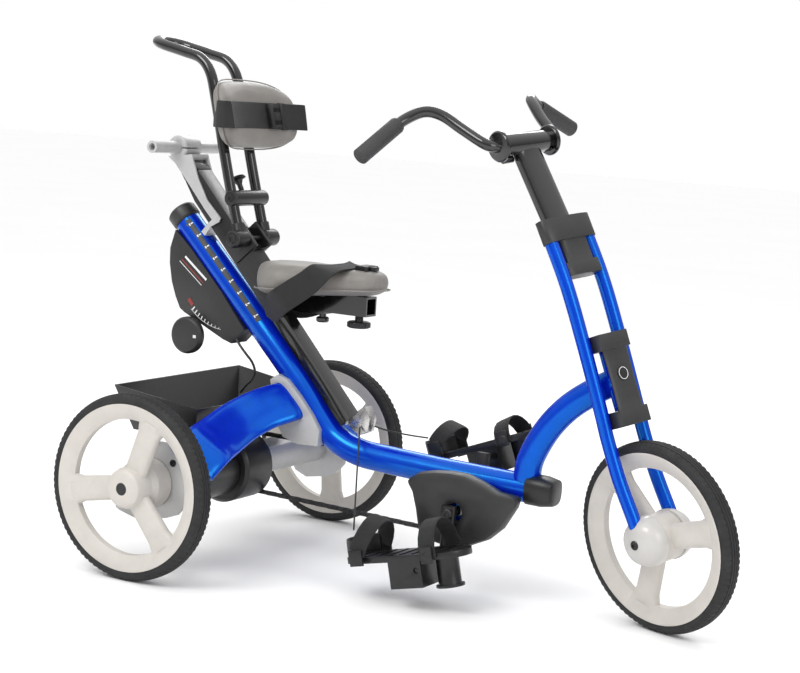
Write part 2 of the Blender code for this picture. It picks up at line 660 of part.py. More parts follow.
# --------------------------------------------------------------------------- seating
def add_rail_head(trike):
    """Casting on the rail's upper end that clamps the cross tube."""
    web = [(-0.1663, 0.6763), (-0.1505, 0.6651), (-0.1159, 0.6276), (-0.0814, 0.5885),
           (-0.0660, 0.5730), (-0.0745, 0.5655), (-0.0870, 0.5505), (-0.0790, 0.5440),
           (-0.0675, 0.5610), (-0.0506, 0.5703), (-0.0479, 0.5774), (-0.0782, 0.6061),
           (-0.0996, 0.6427), (-0.1121, 0.6730), (-0.1150, 0.6830)]
    trike.add("rail_head", "light_casting", "root", prism(web, -0.0245, 0.0245),
              joined=[disc(0.0205, -0.0245, 0.0245, CROSS_TUBE, segments=20, edge=0.003)],
              cut=[disc(CROSS_TUBE_R + GAP, -0.2, 0.2, CROSS_TUBE, segments=16),
                   rail_box(-GAP, 0.3, RAIL_LOW - GAP, 0.1, SLEEVE_HALF + 2 * GAP),
                   main_clearance(),
                   block((CROSS_TUBE.x, -0.1, 0.6915), (-0.10, 0.1, 0.6940))])
    trike.add("cross_tube", "light_casting", "root",
              disc(CROSS_TUBE_R, -0.0960, 0.0960, CROSS_TUBE, segments=16),
              cut=[disc(0.0062, -0.12, -0.070, CROSS_TUBE, segments=12),
                   disc(0.0062, 0.070, 0.12, CROSS_TUBE, segments=12)])


def add_carriage(trike):
    """Sleeve on the rail with the seat beam, the seat and the hip belt."""
    shell = rail_prism([(0.0215, -0.0155), (0.060, RAIL_LOW), (0.315, RAIL_LOW),
                        (0.315, SLEEVE_HIGH), (0.0215, SLEEVE_HIGH)], SLEEVE_HALF)
    trike.add("seat_carriage", "black_plastic", "seat", shell,
              joined=[rail_box(0.150, 0.200, -0.016, 0.036, CHEEK_HALF)],
              cut=[rail_box(-0.1, 0.6, -0.05, RAIL_HIGH + GAP, RAIL_HALF + GAP),
                   rail_box(0.0, 0.4, SLEEVE_HIGH + 0.0001, 0.1, RAIL_HALF),
                   disc(RECLINE_PIN_R + GAP, -0.1, 0.1, RECLINE_PIVOT, segments=12)])
    beam = [(0.0500, 0.4400), (0.1200, 0.4310), (0.1690, 0.4330), (0.1690, 0.4630), (0.0500, 0.4550)]
    receiver = block((0.1680, -0.0165, 0.4365), (0.2500, 0.0165, 0.4695))
    screw = Vector((0.1560, 0.0, 0.4325))
    trike.add("seat_beam", "black_tube", "seat", prism(beam, -0.0160, 0.0160),
              joined=[receiver, disc(0.0110, -0.0150, -0.0060, screw, (0, 0, 1), 14, 0.002),
                      disc(0.0060, -0.0065, 0.0020, screw, (0, 0, 1), 12)],
              cut=[rail_box(0.0, 0.6, -0.1, SLEEVE_HIGH + GAP, 0.1),
                   block((0.1850, -0.0130, 0.4400), (0.30, 0.0130, 0.4660))])
    trike.add("receiver_knob", "black_plastic", "receiver_knob",
              disc(0.0190, -0.0210, -0.0100, RECEIVER_KNOB, (0, 0, 1), 20, 0.002),
              joined=[disc(0.0070, -0.0105, -GAP, RECEIVER_KNOB, (0, 0, 1), 12)])
    trike.add("seat_pad", "pad_foam", "seat", seat_solid(),
              cut=[rail_box(0.0, 0.6, -0.1, SLEEVE_HIGH + 2 * GAP, SLEEVE_HALF + 3 * GAP),
                   block((0.1600, -0.0165 - GAP, 0.43), (0.2500 + GAP, 0.0165 + GAP, 0.4695 + GAP))])
    half_belt = [((0.0540, -0.0300, 0.4380), (0.55, 0.0, -0.83)),
                 ((0.0850, -0.0530, 0.4350), (0.60, 0.0, -0.80)),
                 ((0.1200, -0.0830, 0.4530), (0.70, 0.0, -0.71)),
                 ((0.1450, -0.0840, 0.4700), (0.74, 0.0, -0.67)),
                 ((0.1700, -0.0775, 0.4890), (0.86, 0.0, -0.51)),
                 ((0.1850, -0.0660, 0.5070), (0.95, 0.0, -0.30)),
                 ((0.1940, -0.0470, 0.5150), (0.98, 0.0, -0.10)),
                 ((0.1990, -0.0190, 0.5165), (1.0, 0.0, -0.05))]
    belt = half_belt + [(mirror_y(p), w) for p, w in reversed(half_belt)]
    path = smooth_path([p for p, w in belt], 2)
    widths = smooth_path([w for p, w in belt], 2)
    trike.add("hip_belt", "webbing", "seat",
              sweep(path, oval(0.0230, 0.0011, 8, 5.0), side=widths))
    trike.add("hip_belt_buckle", "black_plastic", "seat",
              block((0.2245, -0.0185, 0.5120), (0.2580, 0.0185, 0.5215)))


def seat_half_width(t):
    """Saddle half width from its rounded back, t = 0, to its nose, t = 1."""
    back = 0.076 * math.sqrt(max(0.0, 1.0 - (1.0 - min(t / 0.28, 1.0)) ** 2))
    taper = 0.076 - 0.036 * min(max((t - 0.28) / 0.55, 0.0), 1.0)
    nose = math.sqrt(max(0.0, 1.0 - max(0.0, (t - 0.86) / 0.14) ** 2))
    return min(back, taper) * nose


def seat_solid():
    """The saddle: a level top and an under side that rises to the nose."""
    steps = [0.02, 0.08, 0.17, 0.28, 0.45, 0.62, 0.80, 0.90, 0.96, 0.99]
    right = [(t, -seat_half_width(t)) for t in steps]
    outline = right + [(t, -y) for t, y in reversed(right)]
    rings = []
    for level, inset in ((0.0, 0.93), (0.25, 1.0), (0.70, 0.985), (1.0, 0.86)):
        ring = []
        for t, y in outline:
            t_in = 0.5 + (t - 0.5) * (1.0 - (1.0 - inset) * 0.55)
            under = SEAT_UNDER + SEAT_RISE * t_in
            ring.append((SEAT_START + SEAT_LENGTH * t_in, y * inset,
                         under + level * (SEAT_TOP - under)))
        rings.append(ring)
    return skin(rings, closed=False)


def upright_path(side):
    points = [(0.0000, 0.5600), (-0.0080, 0.5870), (-0.0260, 0.6500), (-0.0440, 0.7170),
              (-0.0610, 0.7830), (-0.0740, 0.8240), (-0.0950, 0.8480), (-0.1300, 0.8580),
              (-0.1700, 0.8670)]
    return smooth_path([(x, side * UPRIGHT_HALF, z) for x, z in points], 2)


def upright_clearances():
    return [sweep(upright_path(side), oval(UPRIGHT_R + GAP, UPRIGHT_R + GAP, 10), reach=GAP)
            for side in (-1, 1)]


def add_backrest(trike):
    half = UPRIGHT_HALF
    right = upright_path(-1)
    loop = []
    for i in range(1, 10):
        angle = math.pi * i / 10
        loop.append((-0.1700 - half * math.sin(angle), -half * math.cos(angle),
                     0.8670 + 0.009 * math.sin(angle)))
    left = list(reversed(upright_path(1)))
    trike.add("push_bar", "black_tube", "backrest",
              sweep(right + loop + left, oval(UPRIGHT_R, UPRIGHT_R, 10)))
    sockets = [sweep([(0.0040, side * half, 0.5500), (-0.0025, side * half, 0.5720)],
                     oval(0.0110, 0.0110, 10)) for side in (-1, 1)]
    trike.add("recline_pivot", "black_plastic", "backrest",
              disc(0.0150, 0.0268, 0.0640, RECLINE_PIVOT, (0, 1, 0), 18, 0.003),
              joined=[disc(0.0150, 0.0268, 0.0640, RECLINE_PIVOT, (0, -1, 0), 18, 0.003),
                      disc(RECLINE_PIN_R, -0.0280, 0.0280, RECLINE_PIVOT, (0, 1, 0), 12)] + sockets,
              cut=upright_clearances())
    trike.add("backrest_clamp", "black_plastic", "backrest",
              disc(0.0135, -0.0500, 0.0500, CLAMP_MIDDLE, segments=18, edge=0.002),
              cut=upright_clearances())
    trike.add("clamp_knob", "black_plastic", "clamp_knob",
              lathe([(0.0, 0.0140), (0.0045, 0.0140), (0.0045, 0.0250), (0.0085, 0.0330),
                     (0.0150, 0.0350), (0.0120, 0.0395), (0.0, 0.0410)],
                    CLAMP_MIDDLE + Vector((0, CLAMP_KNOB_Y, 0)), CLAMP_KNOB_AXIS, 14))

    rings = []
    for rise, squeeze in ((-0.060, 0.70), (-0.050, 0.95), (0.0, 1.0), (0.050, 0.95), (0.060, 0.70)):
        level = PAD_LEVEL + rise
        inner, outer = [], []
        for y in pad_stations():
            depth = PAD_DEPTH * (0.55 if abs(y) > 0.99 * PAD_HALF else 1.0)
            spare = 0.5 * depth * (1.0 - squeeze)
            width = y * (0.75 + 0.25 * squeeze)
            inner.append((pad_x(y) - spare, width, level))
            outer.append((pad_x(y) - depth + spare, width, level))
        rings.append(inner + list(reversed(outer)))
    trike.add("back_pad", "pad_foam", "back_pad", leaned(skin(rings, closed=False)))
    trike.add("pad_bracket", "black_plastic", "back_pad",
              leaned(block((-0.0740, -0.0240, 0.7300), (-0.0470, 0.0240, 0.7800))))
    trike.add("chest_strap", "webbing", "back_pad",
              leaned(sweep(strap_loop(), oval(0.0225, 0.0011, 8, 5.0), side=(0, 0, 1), closed=True)),
              cut=[block((-0.0100, 0.0250, 0.70), (0.060, 0.0780, 0.80))])
    trike.add("chest_buckle", "black_plastic", "back_pad",
              leaned(prism([(pad_x(y) + 0.0012, y) for y in (0.0260, 0.0515, 0.0770)]
                           + [(pad_x(y) + 0.0125, y) for y in (0.0770, 0.0515, 0.0260)],
                           0.7310, 0.7790, "Z")))


def pad_stations():
    return [-PAD_HALF + 2 * PAD_HALF * i / 12 for i in range(13)]


def pad_x(y):
    """The pad curves forwards round the rider's sides."""
    return PAD_FRONT + PAD_CURVE * (y / PAD_HALF) ** 2


def leaned(mesh):
    """Leans a piece back with the uprights."""
    matrix = Matrix.Identity(4)
    matrix[0][2] = -PAD_LEAN
    matrix[0][3] = PAD_LEAN * PAD_LEVEL
    return placed(mesh, matrix)


def strap_loop():
    """Closed loop round the pad, close to its front and its back."""
    front = [(pad_x(y) + 0.0034, y, PAD_LEVEL) for y in pad_stations()]
    edge = pad_x(PAD_HALF)
    side = [(edge - 0.0080, PAD_HALF + 0.0040, PAD_LEVEL), (edge - 0.0260, PAD_HALF + 0.0020, PAD_LEVEL)]
    back = [(pad_x(y) - PAD_DEPTH - 0.0030, y, PAD_LEVEL) for y in pad_stations()[1:-1]]
    return front + side + list(reversed(back)) + [mirror_y(p) for p in reversed(side)]


# -------------------------------------------------------------------------- steering
def leg_path(side):
    points = [(0.5887, 0.6164), (0.6330, 0.5330), (0.6700, 0.4420), (0.7040, 0.3495),
              (0.7210, 0.3000), (0.7460, 0.2400), (0.7760, 0.1840), (0.7850, 0.1640)]
    return smooth_path([(x, side * LEG_HALF, z) for x, z in points], 2)


def dome_solid(side, grow):
    outer = [(0.0, 0.0560), (0.0100, 0.0555), (0.0230, 0.0520), (0.0330, 0.0450),
             (0.0385, 0.0350), (0.0400, 0.0245), (0.0400, 0.0222), (0.0, 0.0222)]
    profile = [(r + (grow if r > 0.0 else 0.0), h + (grow if h > 0.03 else -grow)) for r, h in outer]
    return lathe(profile, (WHEELBASE, 0.0, FRONT_HUB_Z), (0.0, side, 0.0), 24)


def steer_box(low, high, ahead0, ahead1, half):
    """A block between two heights on the steering axis."""
    corners = [steer_point(low, ahead0), steer_point(low, ahead1),
               steer_point(high, ahead1), steer_point(high, ahead0)]
    return prism([(p.x, p.z) for p in corners], -half, half)


def leg_clearances():
    return [sweep(leg_path(side), oval(LEG_R + GAP, LEG_R + GAP, 12), reach=GAP)
            for side in (-1, 1)]


def add_steering(trike):
    hub = Vector((WHEELBASE, 0.0, FRONT_HUB_Z))
    for label, side in (("right", -1), ("left", 1)):
        trike.add(f"{label}_fork_leg", "blue_paint", "steering",
                  sweep(leg_path(side), oval(LEG_R, LEG_R, 12)), cut=[dome_solid(side, GAP)])
        trike.add(f"{label}_hub_dome", "light_plastic", "steering", dome_solid(side, 0.0),
                  joined=[disc(FRONT_AXLE_R, GAP, 0.0300, hub, (0, side, 0), 12)])
    waist = [(HEAD_LOW - 0.001, 0.0270), (HEAD_LOW + 0.020, 0.0235), (HEAD_LOW + 0.0475, 0.0195),
             (HEAD_HIGH - 0.020, 0.0235), (HEAD_HIGH + 0.001, 0.0270)]
    rings = []
    for height, width in waist:
        ring = []
        for ahead, y in ((HEAD_R + 0.0010, -width), (0.0170, -width), (0.0190, -width * 0.8),
                         (0.0200, 0.0), (0.0190, width * 0.8), (0.0170, width),
                         (HEAD_R + 0.0010, width)):
            ring.append(tuple(steer_point(height, ahead, y)))
        rings.append(ring)
    trike.add("fork_crown", "grey_plastic", "steering",
              steer_box(HEAD_HIGH + GAP, HEAD_HIGH + 0.026, LEG_AHEAD - 0.016, 0.0220, 0.0310),
              joined=[steer_box(HEAD_LOW - 0.026, HEAD_LOW - GAP, LEG_AHEAD - 0.016, 0.0220, 0.0310),
                      skin(rings, closed=False), head_shaft(SHAFT_R, 0.015)],
              cut=leg_clearances())

    leg_top = leg_path(-1)[0]
    run = (leg_path(-1)[1] - leg_top).normalized()
    run.y = 0.0
    top = Vector((leg_top.x, 0.0, leg_top.z)) - run * 0.014
    trike.add("stem_clamp", "grey_plastic", "steering",
              sweep([top, top + run * 0.038], oval(0.0535, 0.0160, 20, 3.0)),
              joined=[sweep([top + run * 0.030, top + run * 0.077], oval(0.0290, 0.0135, 14, 4.0)),
                      sweep([top + run * 0.0750, top + run * 0.097], oval(0.0380, 0.0150, 14, 4.0))],
              cut=leg_clearances() + [sweep(stem_path(), oval(STEM_HALF + GAP, STEM_DEPTH + GAP, 14, 2.6),
                                            reach=GAP)])
    trike.add("stem", "black_tube", "steering", sweep(stem_path(), oval(STEM_HALF, STEM_DEPTH, 14, 2.6)),
              joined=[disc(0.0178, -0.0510, 0.0510, BAR_PIVOT, segments=20),
                      disc(0.0055, -0.0500, -0.0300, BAR_PIVOT + Vector((0.002, 0, -0.0225)),
                           segments=10)],
              cut=[disc(BAR_R + 0.0006, -0.1, 0.1, BAR_PIVOT, segments=16)])


def head_shaft(radius, extra):
    low = steer_point(HEAD_LOW - extra)
    high = steer_point(HEAD_HIGH + extra)
    return sweep([low, high], oval(radius, radius, 12))


def stem_path():
    return [(0.5840, 0.0, 0.6030), (0.5705, 0.0, 0.6230), (0.5150, 0.0, 0.7100), (0.5000, 0.0, 0.7330)]


def bar_points():
    half = [(0.5001, 0.0, 0.7409), (0.5001, 0.0600, 0.7409), (0.4900, 0.0760, 0.7460),
            (0.4511, 0.0880, 0.7672), (0.4180, 0.1010, 0.7880), (0.3960, 0.1180, 0.7945),
            (0.3800, 0.1420, 0.7850), (0.3740, 0.1700, 0.7690), (0.3735, 0.2330, 0.7343)]
    return half


def add_handlebar(trike):
    half = bar_points()
    outer = smooth_path(half[1:], 2)
    inner = [mirror_y(p) for p in reversed(outer)]
    full = inner + [Vector(half[0])] + outer
    flanges = [disc(0.0250, 0.0513, 0.0590, BAR_PIVOT, (0, side, 0), 20, 0.0025) for side in (-1, 1)]
    trike.add("handlebar", "black_tube", "handlebar",
              sweep(full, oval(BAR_R, BAR_R, 10), side=(1, 0, 0)), joined=flanges)
    for label, side in (("right", -1), ("left", 1)):
        end = Vector((half[-1][0], side * half[-1][1], half[-1][2]))
        back = Vector((half[-2][0], side * half[-2][1], half[-2][2]))
        run = (end - back).normalized()
        start = end - run * 0.0880
        trike.add(f"{label}_grip", "grip_rubber", "handlebar",
                  sweep([start, start + run * 0.004, end + run * 0.0035, end + run * 0.0055],
                        oval(GRIP_R, GRIP_R, 14), side=(1, 0, 0),
                        scale=[(0.88, 0.88), (1.0, 1.0), (1.0, 1.0), (0.85, 0.85)]),
                  cut=[sweep(full, oval(BAR_R + GAP, BAR_R + GAP, 10), side=(1, 0, 0), reach=GAP)])


# ------------------------------------------------------------------- pulley and cords
def add_pulley(trike):
    """Block on the rail's lower end that turns the pedal levelling cords."""
    block_outline = [(0.2400, 0.2900), (0.2560, 0.2880), (0.2670, 0.2660), (0.2640, 0.2440),
                     (0.2500, 0.2370), (0.2400, 0.2400), (0.2250, 0.2500), (0.2250, 0.2720)]
    trike.add("pulley_block", "silver_metal", "root", prism(block_outline, -0.0110, 0.0110),
              cut=[rail_box(0.0, RAIL_LENGTH + GAP, -0.1, 0.1, 0.1),
                   main_clearance()])


def add_pedal_cords(trike):
    """Taut levelling cords from the pulley block to the heels of the footplates."""
    routes = {"right_pedal_cord": [(0.2500, -0.0135, 0.2510), (0.2700, -0.0480, 0.2030),
                                   (0.2920, -0.0850, 0.1530), (0.3140, -0.1220, 0.1040)],
              "left_pedal_cord": [(0.2550, 0.0135, 0.2520), (0.2720, 0.0480, 0.2400),
                                  (0.2900, 0.0850, 0.2310), (0.3080, 0.1210, 0.2240)]}
    for name, route in routes.items():
        add_cord(trike, name, "black_plastic", 0.0014, route, 3)


def main():
    for item in list(bpy.data.objects):
        bpy.data.objects.remove(item, do_unlink=True)
    trike = Assembly()
    trike.body("root")
    trike.body("drive_axle", (0.0, 0.0, AXLE_Z), "root")
    trike.body("left_wheel", (0.0, 0.0, AXLE_Z), "root")
    trike.body("crank", CRANK_PIVOT, "root")
    trike.body("brake_knob", BRAKE_PIVOT, "root")
    trike.body("seat", (0.0, 0.0, 0.0), "root")
    trike.body("receiver_knob", RECEIVER_KNOB, "seat")
    trike.body("backrest", RECLINE_PIVOT, "seat")
    trike.body("clamp_knob", CLAMP_MIDDLE + Vector((0.0, CLAMP_KNOB_Y, 0.0)), "backrest")
    trike.body("back_pad", RECLINE_PIVOT, "backrest")
    hub = Vector((WHEELBASE, 0.0, FRONT_HUB_Z))
    trike.body("steering", hub, "root", turn=(STEER_TURN, STEER_AXIS))
    trike.body("front_wheel", hub, "steering")
    trike.body("handlebar", BAR_PIVOT, "steering")

    add_frame(trike)
    add_rear_frame(trike)
    add_basket(trike)
    add_brake_cable(trike)
    add_brake_housing(trike)
    add_drive(trike)
    add_crank_side(trike, "right", -1)
    add_crank_side(trike, "left", 1)
    add_rear_wheel(trike, "rear_right", -1, "drive_axle", math.radians(70.0))
    add_rear_wheel(trike, "rear_left", 1, "left_wheel", math.radians(35.0))
    front_hub = [(0.0, -0.0219), (0.0365, -0.0219), (0.0385, -0.0190), (0.0385, 0.0190),
                 (0.0365, 0.0219), (0.0, 0.0219)]
    add_wheel(trike, "front", hub, "front_wheel", front_hub, math.radians(17.0), 0.0055)
    add_rail_head(trike)
    add_carriage(trike)
    add_backrest(trike)
    add_steering(trike)
    add_handlebar(trike)
    add_pulley(trike)
    add_pedal_cords(trike)


main()
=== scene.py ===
"""Looks of the small adaptive tricycle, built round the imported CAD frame.

Pieces are drawn in design coordinates, in metres: X forwards from the rear axle, Y to the rider's left and
Z up from the floor, with the steering straight and the pedals level. make_object puts them in the frame."""
import math

import bmesh
import bpy
from mathutils import Matrix, Vector


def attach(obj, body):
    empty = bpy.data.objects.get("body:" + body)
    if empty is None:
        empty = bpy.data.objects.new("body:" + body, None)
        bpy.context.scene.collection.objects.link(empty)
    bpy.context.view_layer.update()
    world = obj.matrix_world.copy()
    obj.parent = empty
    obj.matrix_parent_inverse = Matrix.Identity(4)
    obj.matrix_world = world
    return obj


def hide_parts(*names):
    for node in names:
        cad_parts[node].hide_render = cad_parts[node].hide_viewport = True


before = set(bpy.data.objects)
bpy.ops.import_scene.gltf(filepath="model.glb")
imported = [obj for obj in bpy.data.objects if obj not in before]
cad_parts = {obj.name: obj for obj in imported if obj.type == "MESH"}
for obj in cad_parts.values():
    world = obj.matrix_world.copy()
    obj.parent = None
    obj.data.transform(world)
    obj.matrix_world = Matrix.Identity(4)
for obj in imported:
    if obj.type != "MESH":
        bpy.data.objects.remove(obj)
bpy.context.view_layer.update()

FINE = 3                  # how much finer the shown curves are than the CAD's
GAP = 0.0003              # clearance between touching pieces
ORIGIN_X = 0.35975        # middle of the tricycle's length, from the rear axle

WHEEL_R = 0.1525          # 12 inch tyre
TREAD_HALF = 0.004        # flat middle of the tread
RIM_SEAT_R = 0.1341       # under the tyre
RIM_INNER_R = 0.111
SPOKE_COUNT = 3
SIDES = (("right", -1), ("left", 1))     # and the side's sign along Y
TRACK_HALF = 0.3047
WHEELBASE = 0.791
AXLE_Z = WHEEL_R
AXLE_R = 0.01
WHEEL_SEGMENTS = 40

STEER_TILT = math.radians(21.5)
STEER_TURN = math.radians(-20.7)    # the front wheel stands turned to the right
STEER_LEAN = math.asin(math.sin(-STEER_TURN) * math.sin(STEER_TILT))
FRONT_HUB_Z = WHEEL_R * math.cos(STEER_LEAN) + TREAD_HALF * math.sin(STEER_LEAN)
STEER_AXIS = Vector((-math.sin(STEER_TILT), 0.0, math.cos(STEER_TILT)))
FRONT_AXLE_R = 0.005
LEG_HALF = 0.0405         # fork legs, each side of the middle
LEG_R = 0.0111
LEG_AHEAD = -0.009        # the legs stand a little behind the steering axis
HEAD_LOW = 0.205          # head tube's ends, along the steering axis
HEAD_HIGH = 0.3
HEAD_R = 0.014
SHAFT_R = 0.0065

MAIN_R = 0.0235           # main tube and boom
NECK_R = 0.0225
RAIL_HALF = 0.0178        # seat rail, half its width
RAIL_LOW = -0.022         # the rail's under side and top side, out from its own line
RAIL_HIGH = 0.001
RAIL_LENGTH = 0.538
RAIL_END = 0.02          # thick block at the rail's upper end
RAIL_ANGLE = math.radians(47.6)
RAIL_TOP = Vector((-0.1319, 0.0, 0.6607))
SLEEVE_HALF = 0.0205      # seat carriage, half its width
SLEEVE_HIGH = 0.018
CHEEK_HALF = 0.0262       # lugs of the carriage round the recline pin
CROSS_TUBE = Vector((-0.148, 0.0, 0.693))
CROSS_TUBE_R = 0.0105
COLLAR_HALF = 0.033      # casting that holds the rear arch on the main tube
UPRIGHT_HALF = 0.038      # backrest tubes, each side of the middle
UPRIGHT_R = 0.0092
RECLINE_PIN_R = 0.0045
RECLINE_PIVOT = Vector((0.0055, 0.0, 0.5465))
CLAMP_MIDDLE = Vector((-0.0116, 0.0, 0.6145))
CLAMP_KNOB_Y = -0.008
CLAMP_KNOB_AXIS = (-0.45, 0.0, 0.893)

PAD_HALF = 0.112          # back pad
PAD_FRONT = -0.0075       # x of the pad's front face, in its middle
PAD_DEPTH = 0.034
PAD_LEVEL = 0.757
PAD_CURVE = 0.032         # how far the pad's sides come forwards
PAD_LEAN = 0.26           # the pad leans back with the uprights

SEAT_START = 0.03       # saddle, from its rounded back to its nose
SEAT_LENGTH = 0.247
SEAT_TOP = 0.5105
SEAT_UNDER = 0.457       # under side at the back
SEAT_RISE = 0.019        # how much higher the under side is at the nose
RECEIVER_KNOB = Vector((0.228, 0.0, 0.4365))

CRANK_PIVOT = Vector((0.455, 0.0, 0.144))
CRANK_LENGTH = 0.075
PEDAL_Y = 0.1235
PEDAL_PIN_R = 0.0045
PEDAL_TILTS = {"right": math.radians(13.0), "left": math.radians(21.5)}     # toes up
# Foot straps: how high the heel strap starts and rises, and how high the toe strap rises.
STRAPS = {"right": (0.02, 0.048, 0.058), "left": (0.03, 0.024, 0.038)}
HANGER_R = 0.0205
HANGER_HALF = 0.0225
SPINDLE_R = 0.008
CHAIN_Y = 0.0295
CHAIN_PITCH = 0.0127
LINK_R = 0.0034           # rounded ends of the chain's side plates
FRONT_SPROCKET_R = 0.054
REAR_SPROCKET_R = 0.0495

BRAKE_PIVOT = Vector((-0.1, 0.0, 0.368))
BAR_PIVOT = Vector((0.5001, 0.0, 0.7409))
BAR_R = 0.0093
STEM_HALF = 0.0262        # stem, half its width and half its depth
STEM_DEPTH = 0.015
GRIP_R = 0.0135

BELT_HALF = 0.023         # half widths of the hip belt, chest strap and foot straps
CHEST_HALF = 0.0225
FOOT_STRAP_HALF = 0.015
WEB_HALF = 0.0011         # half the thickness of the webbing
PRINT_BACK = -0.0229      # printed marks lie between these on the housing's near side
PRINT_FRONT = -0.0236
PRINT_MIDDLE = Vector((-0.0292, 0.0, 0.4875))     # centre of the printed arc scale
SEAM_R = 0.0012
VOXEL = 0.0045            # remesh of a pad before it swells

CAMERA_EYE = Vector((1.8375, -2.7021, 0.7952))
CAMERA_TARGET = Vector((0.3086, 0.0, 0.4101))
CAMERA_LENS = 84.93
CAMERA_ROLL = math.radians(3.57)


# ------------------------------------------------------------------------ materials
def node(tree, kind, **values):
    """A shader node. A value is a setting of the node, or else the input of that name."""
    made = tree.nodes.new("ShaderNode" + kind)
    for key, value in values.items():
        if hasattr(made, key):
            setattr(made, key, value)
        else:
            made.inputs[key.replace("_", " ")].default_value = value
    return made


MATERIALS = {}


def surface(name, colour, roughness, metallic=0.0, coat=0.0, tone=0.12, tone_scale=18.0, rough_spread=0.08,
        grain="noise", grain_scale=900.0, grain_depth=0.08, sheen=0.0, ior=1.5, tint=(1.0, 1.0, 1.0)):
    """Procedural surface: soft colour drift, worn gloss and a fine grain in relief."""
    material = bpy.data.materials.new(name)
    material.use_nodes = True
    tree = material.node_tree
    shader = tree.nodes["Principled BSDF"]
    shader.inputs["Metallic"].default_value = metallic
    shader.inputs["Coat Weight"].default_value = coat
    shader.inputs["Coat Roughness"].default_value = 0.06
    shader.inputs["Sheen Weight"].default_value = sheen
    shader.inputs["IOR"].default_value = ior
    shader.inputs["Specular Tint"].default_value = (*tint, 1.0)
    place = node(tree, "TexCoord").outputs["Object"]
    drift = node(tree, "TexNoise", Scale=tone_scale, Detail=4.0, Roughness=0.6)
    tree.links.new(place, drift.inputs["Vector"])
    ramp = node(tree, "ValToRGB")
    ramp.color_ramp.elements[0].position = 0.3
    ramp.color_ramp.elements[1].position = 0.7
    ramp.color_ramp.elements[0].color = (*[c * (1.0 - tone) for c in colour], 1.0)
    ramp.color_ramp.elements[1].color = (*[min(1.0, c * (1.0 + tone)) for c in colour], 1.0)
    tree.links.new(drift.outputs["Fac"], ramp.inputs["Fac"])
    tree.links.new(ramp.outputs["Color"], shader.inputs["Base Color"])
    wear = node(tree, "TexNoise", Scale=tone_scale * 3.3, Detail=5.0)
    tree.links.new(place, wear.inputs["Vector"])
    spread = node(tree, "MapRange", To_Min=roughness - rough_spread, To_Max=roughness + rough_spread)
    tree.links.new(wear.outputs["Fac"], spread.inputs["Value"])
    tree.links.new(spread.outputs["Result"], shader.inputs["Roughness"])
    if grain == "noise":
        relief = node(tree, "TexNoise", Scale=grain_scale, Detail=3.0)
        height = relief.outputs["Fac"]
        tree.links.new(place, relief.inputs["Vector"])
    elif grain == "leather":
        relief = node(tree, "TexVoronoi", Scale=grain_scale)
        height = relief.outputs["Distance"]
        tree.links.new(place, relief.inputs["Vector"])
    else:
        height = weave_height(tree, grain_scale)
    bump = node(tree, "Bump", Strength=1.0, Distance=grain_depth * 0.001)
    tree.links.new(height, bump.inputs["Height"])
    tree.links.new(bump.outputs["Normal"], shader.inputs["Normal"])
    MATERIALS[name] = material
    return material


def weave_height(tree, scale):
    """Threads crossing along a band, from the band's own metres along and across."""
    along = node(tree, "UVMap", uv_map="weave")
    split = node(tree, "SeparateXYZ")
    tree.links.new(along.outputs["UV"], split.inputs["Vector"])
    waves = []
    for axis, factor in (("X", 1.0), ("Y", 1.6)):
        step = node(tree, "Math", operation="MULTIPLY")
        step.inputs[1].default_value = scale * factor
        wave = node(tree, "Math", operation="SINE")
        tree.links.new(split.outputs[axis], step.inputs[0])
        tree.links.new(step.outputs[0], wave.inputs[0])
        waves.append(wave)
    cross = node(tree, "Math", operation="MULTIPLY")
    tree.links.new(waves[0].outputs[0], cross.inputs[0])
    tree.links.new(waves[1].outputs[0], cross.inputs[1])
    return cross.outputs[0]


surface("blue_paint", (0.002, 0.014, 0.46), 0.2, 0.0, 0.0, 0.1, 60.0, 0.04,
        grain_scale=2500.0, grain_depth=0.012, ior=2.3, tint=(0.05, 0.55, 1.0))
surface("rim_plastic", (0.56, 0.53, 0.49), 0.45, 0.0, 0.0, 0.05, 30.0, 0.08,
        grain_scale=1400.0, grain_depth=0.03)
surface("tyre_rubber", (0.014, 0.014, 0.015), 0.72, 0.0, 0.0, 0.35, 40.0, 0.12,
        grain_scale=1500.0, grain_depth=0.1)
surface("grey_plastic", (0.024, 0.024, 0.025), 0.42, 0.0, 0.0, 0.12, 25.0, 0.08,
        grain_scale=2200.0, grain_depth=0.05)
surface("black_plastic", (0.008, 0.008, 0.009), 0.36, 0.0, 0.0, 0.2, 30.0, 0.08,
        grain_scale=2000.0, grain_depth=0.04)
surface("black_tube", (0.004, 0.0037, 0.0036), 0.17, 0.0, 0.6, 0.2, 40.0, 0.05,
        grain_scale=2500.0, grain_depth=0.01)
surface("light_casting", (0.5, 0.5, 0.5), 0.4, 0.25, 0.0, 0.06, 35.0, 0.08,
        grain_scale=1800.0, grain_depth=0.05)
surface("silver_metal", (0.56, 0.55, 0.54), 0.26, 1.0, 0.0, 0.1, 80.0, 0.1,
        grain_scale=1800.0, grain_depth=0.03)
surface("dark_steel", (0.05, 0.05, 0.052), 0.35, 0.9, 0.0, 0.3, 120.0, 0.12,
        grain_scale=1500.0, grain_depth=0.05)
surface("pad_foam", (0.2, 0.186, 0.172), 0.5, 0.0, 0.0, 0.07, 22.0, 0.07,
        grain="leather", grain_scale=700.0, grain_depth=0.09, sheen=0.1)
surface("webbing", (0.009, 0.009, 0.01), 0.75, 0.0, 0.0, 0.25, 60.0, 0.08,
        grain="weave", grain_scale=2400.0, grain_depth=0.35, sheen=0.08)
surface("grip_rubber", (0.034, 0.034, 0.036), 0.6, 0.0, 0.0, 0.12, 40.0, 0.08,
        grain="leather", grain_scale=900.0, grain_depth=0.15)
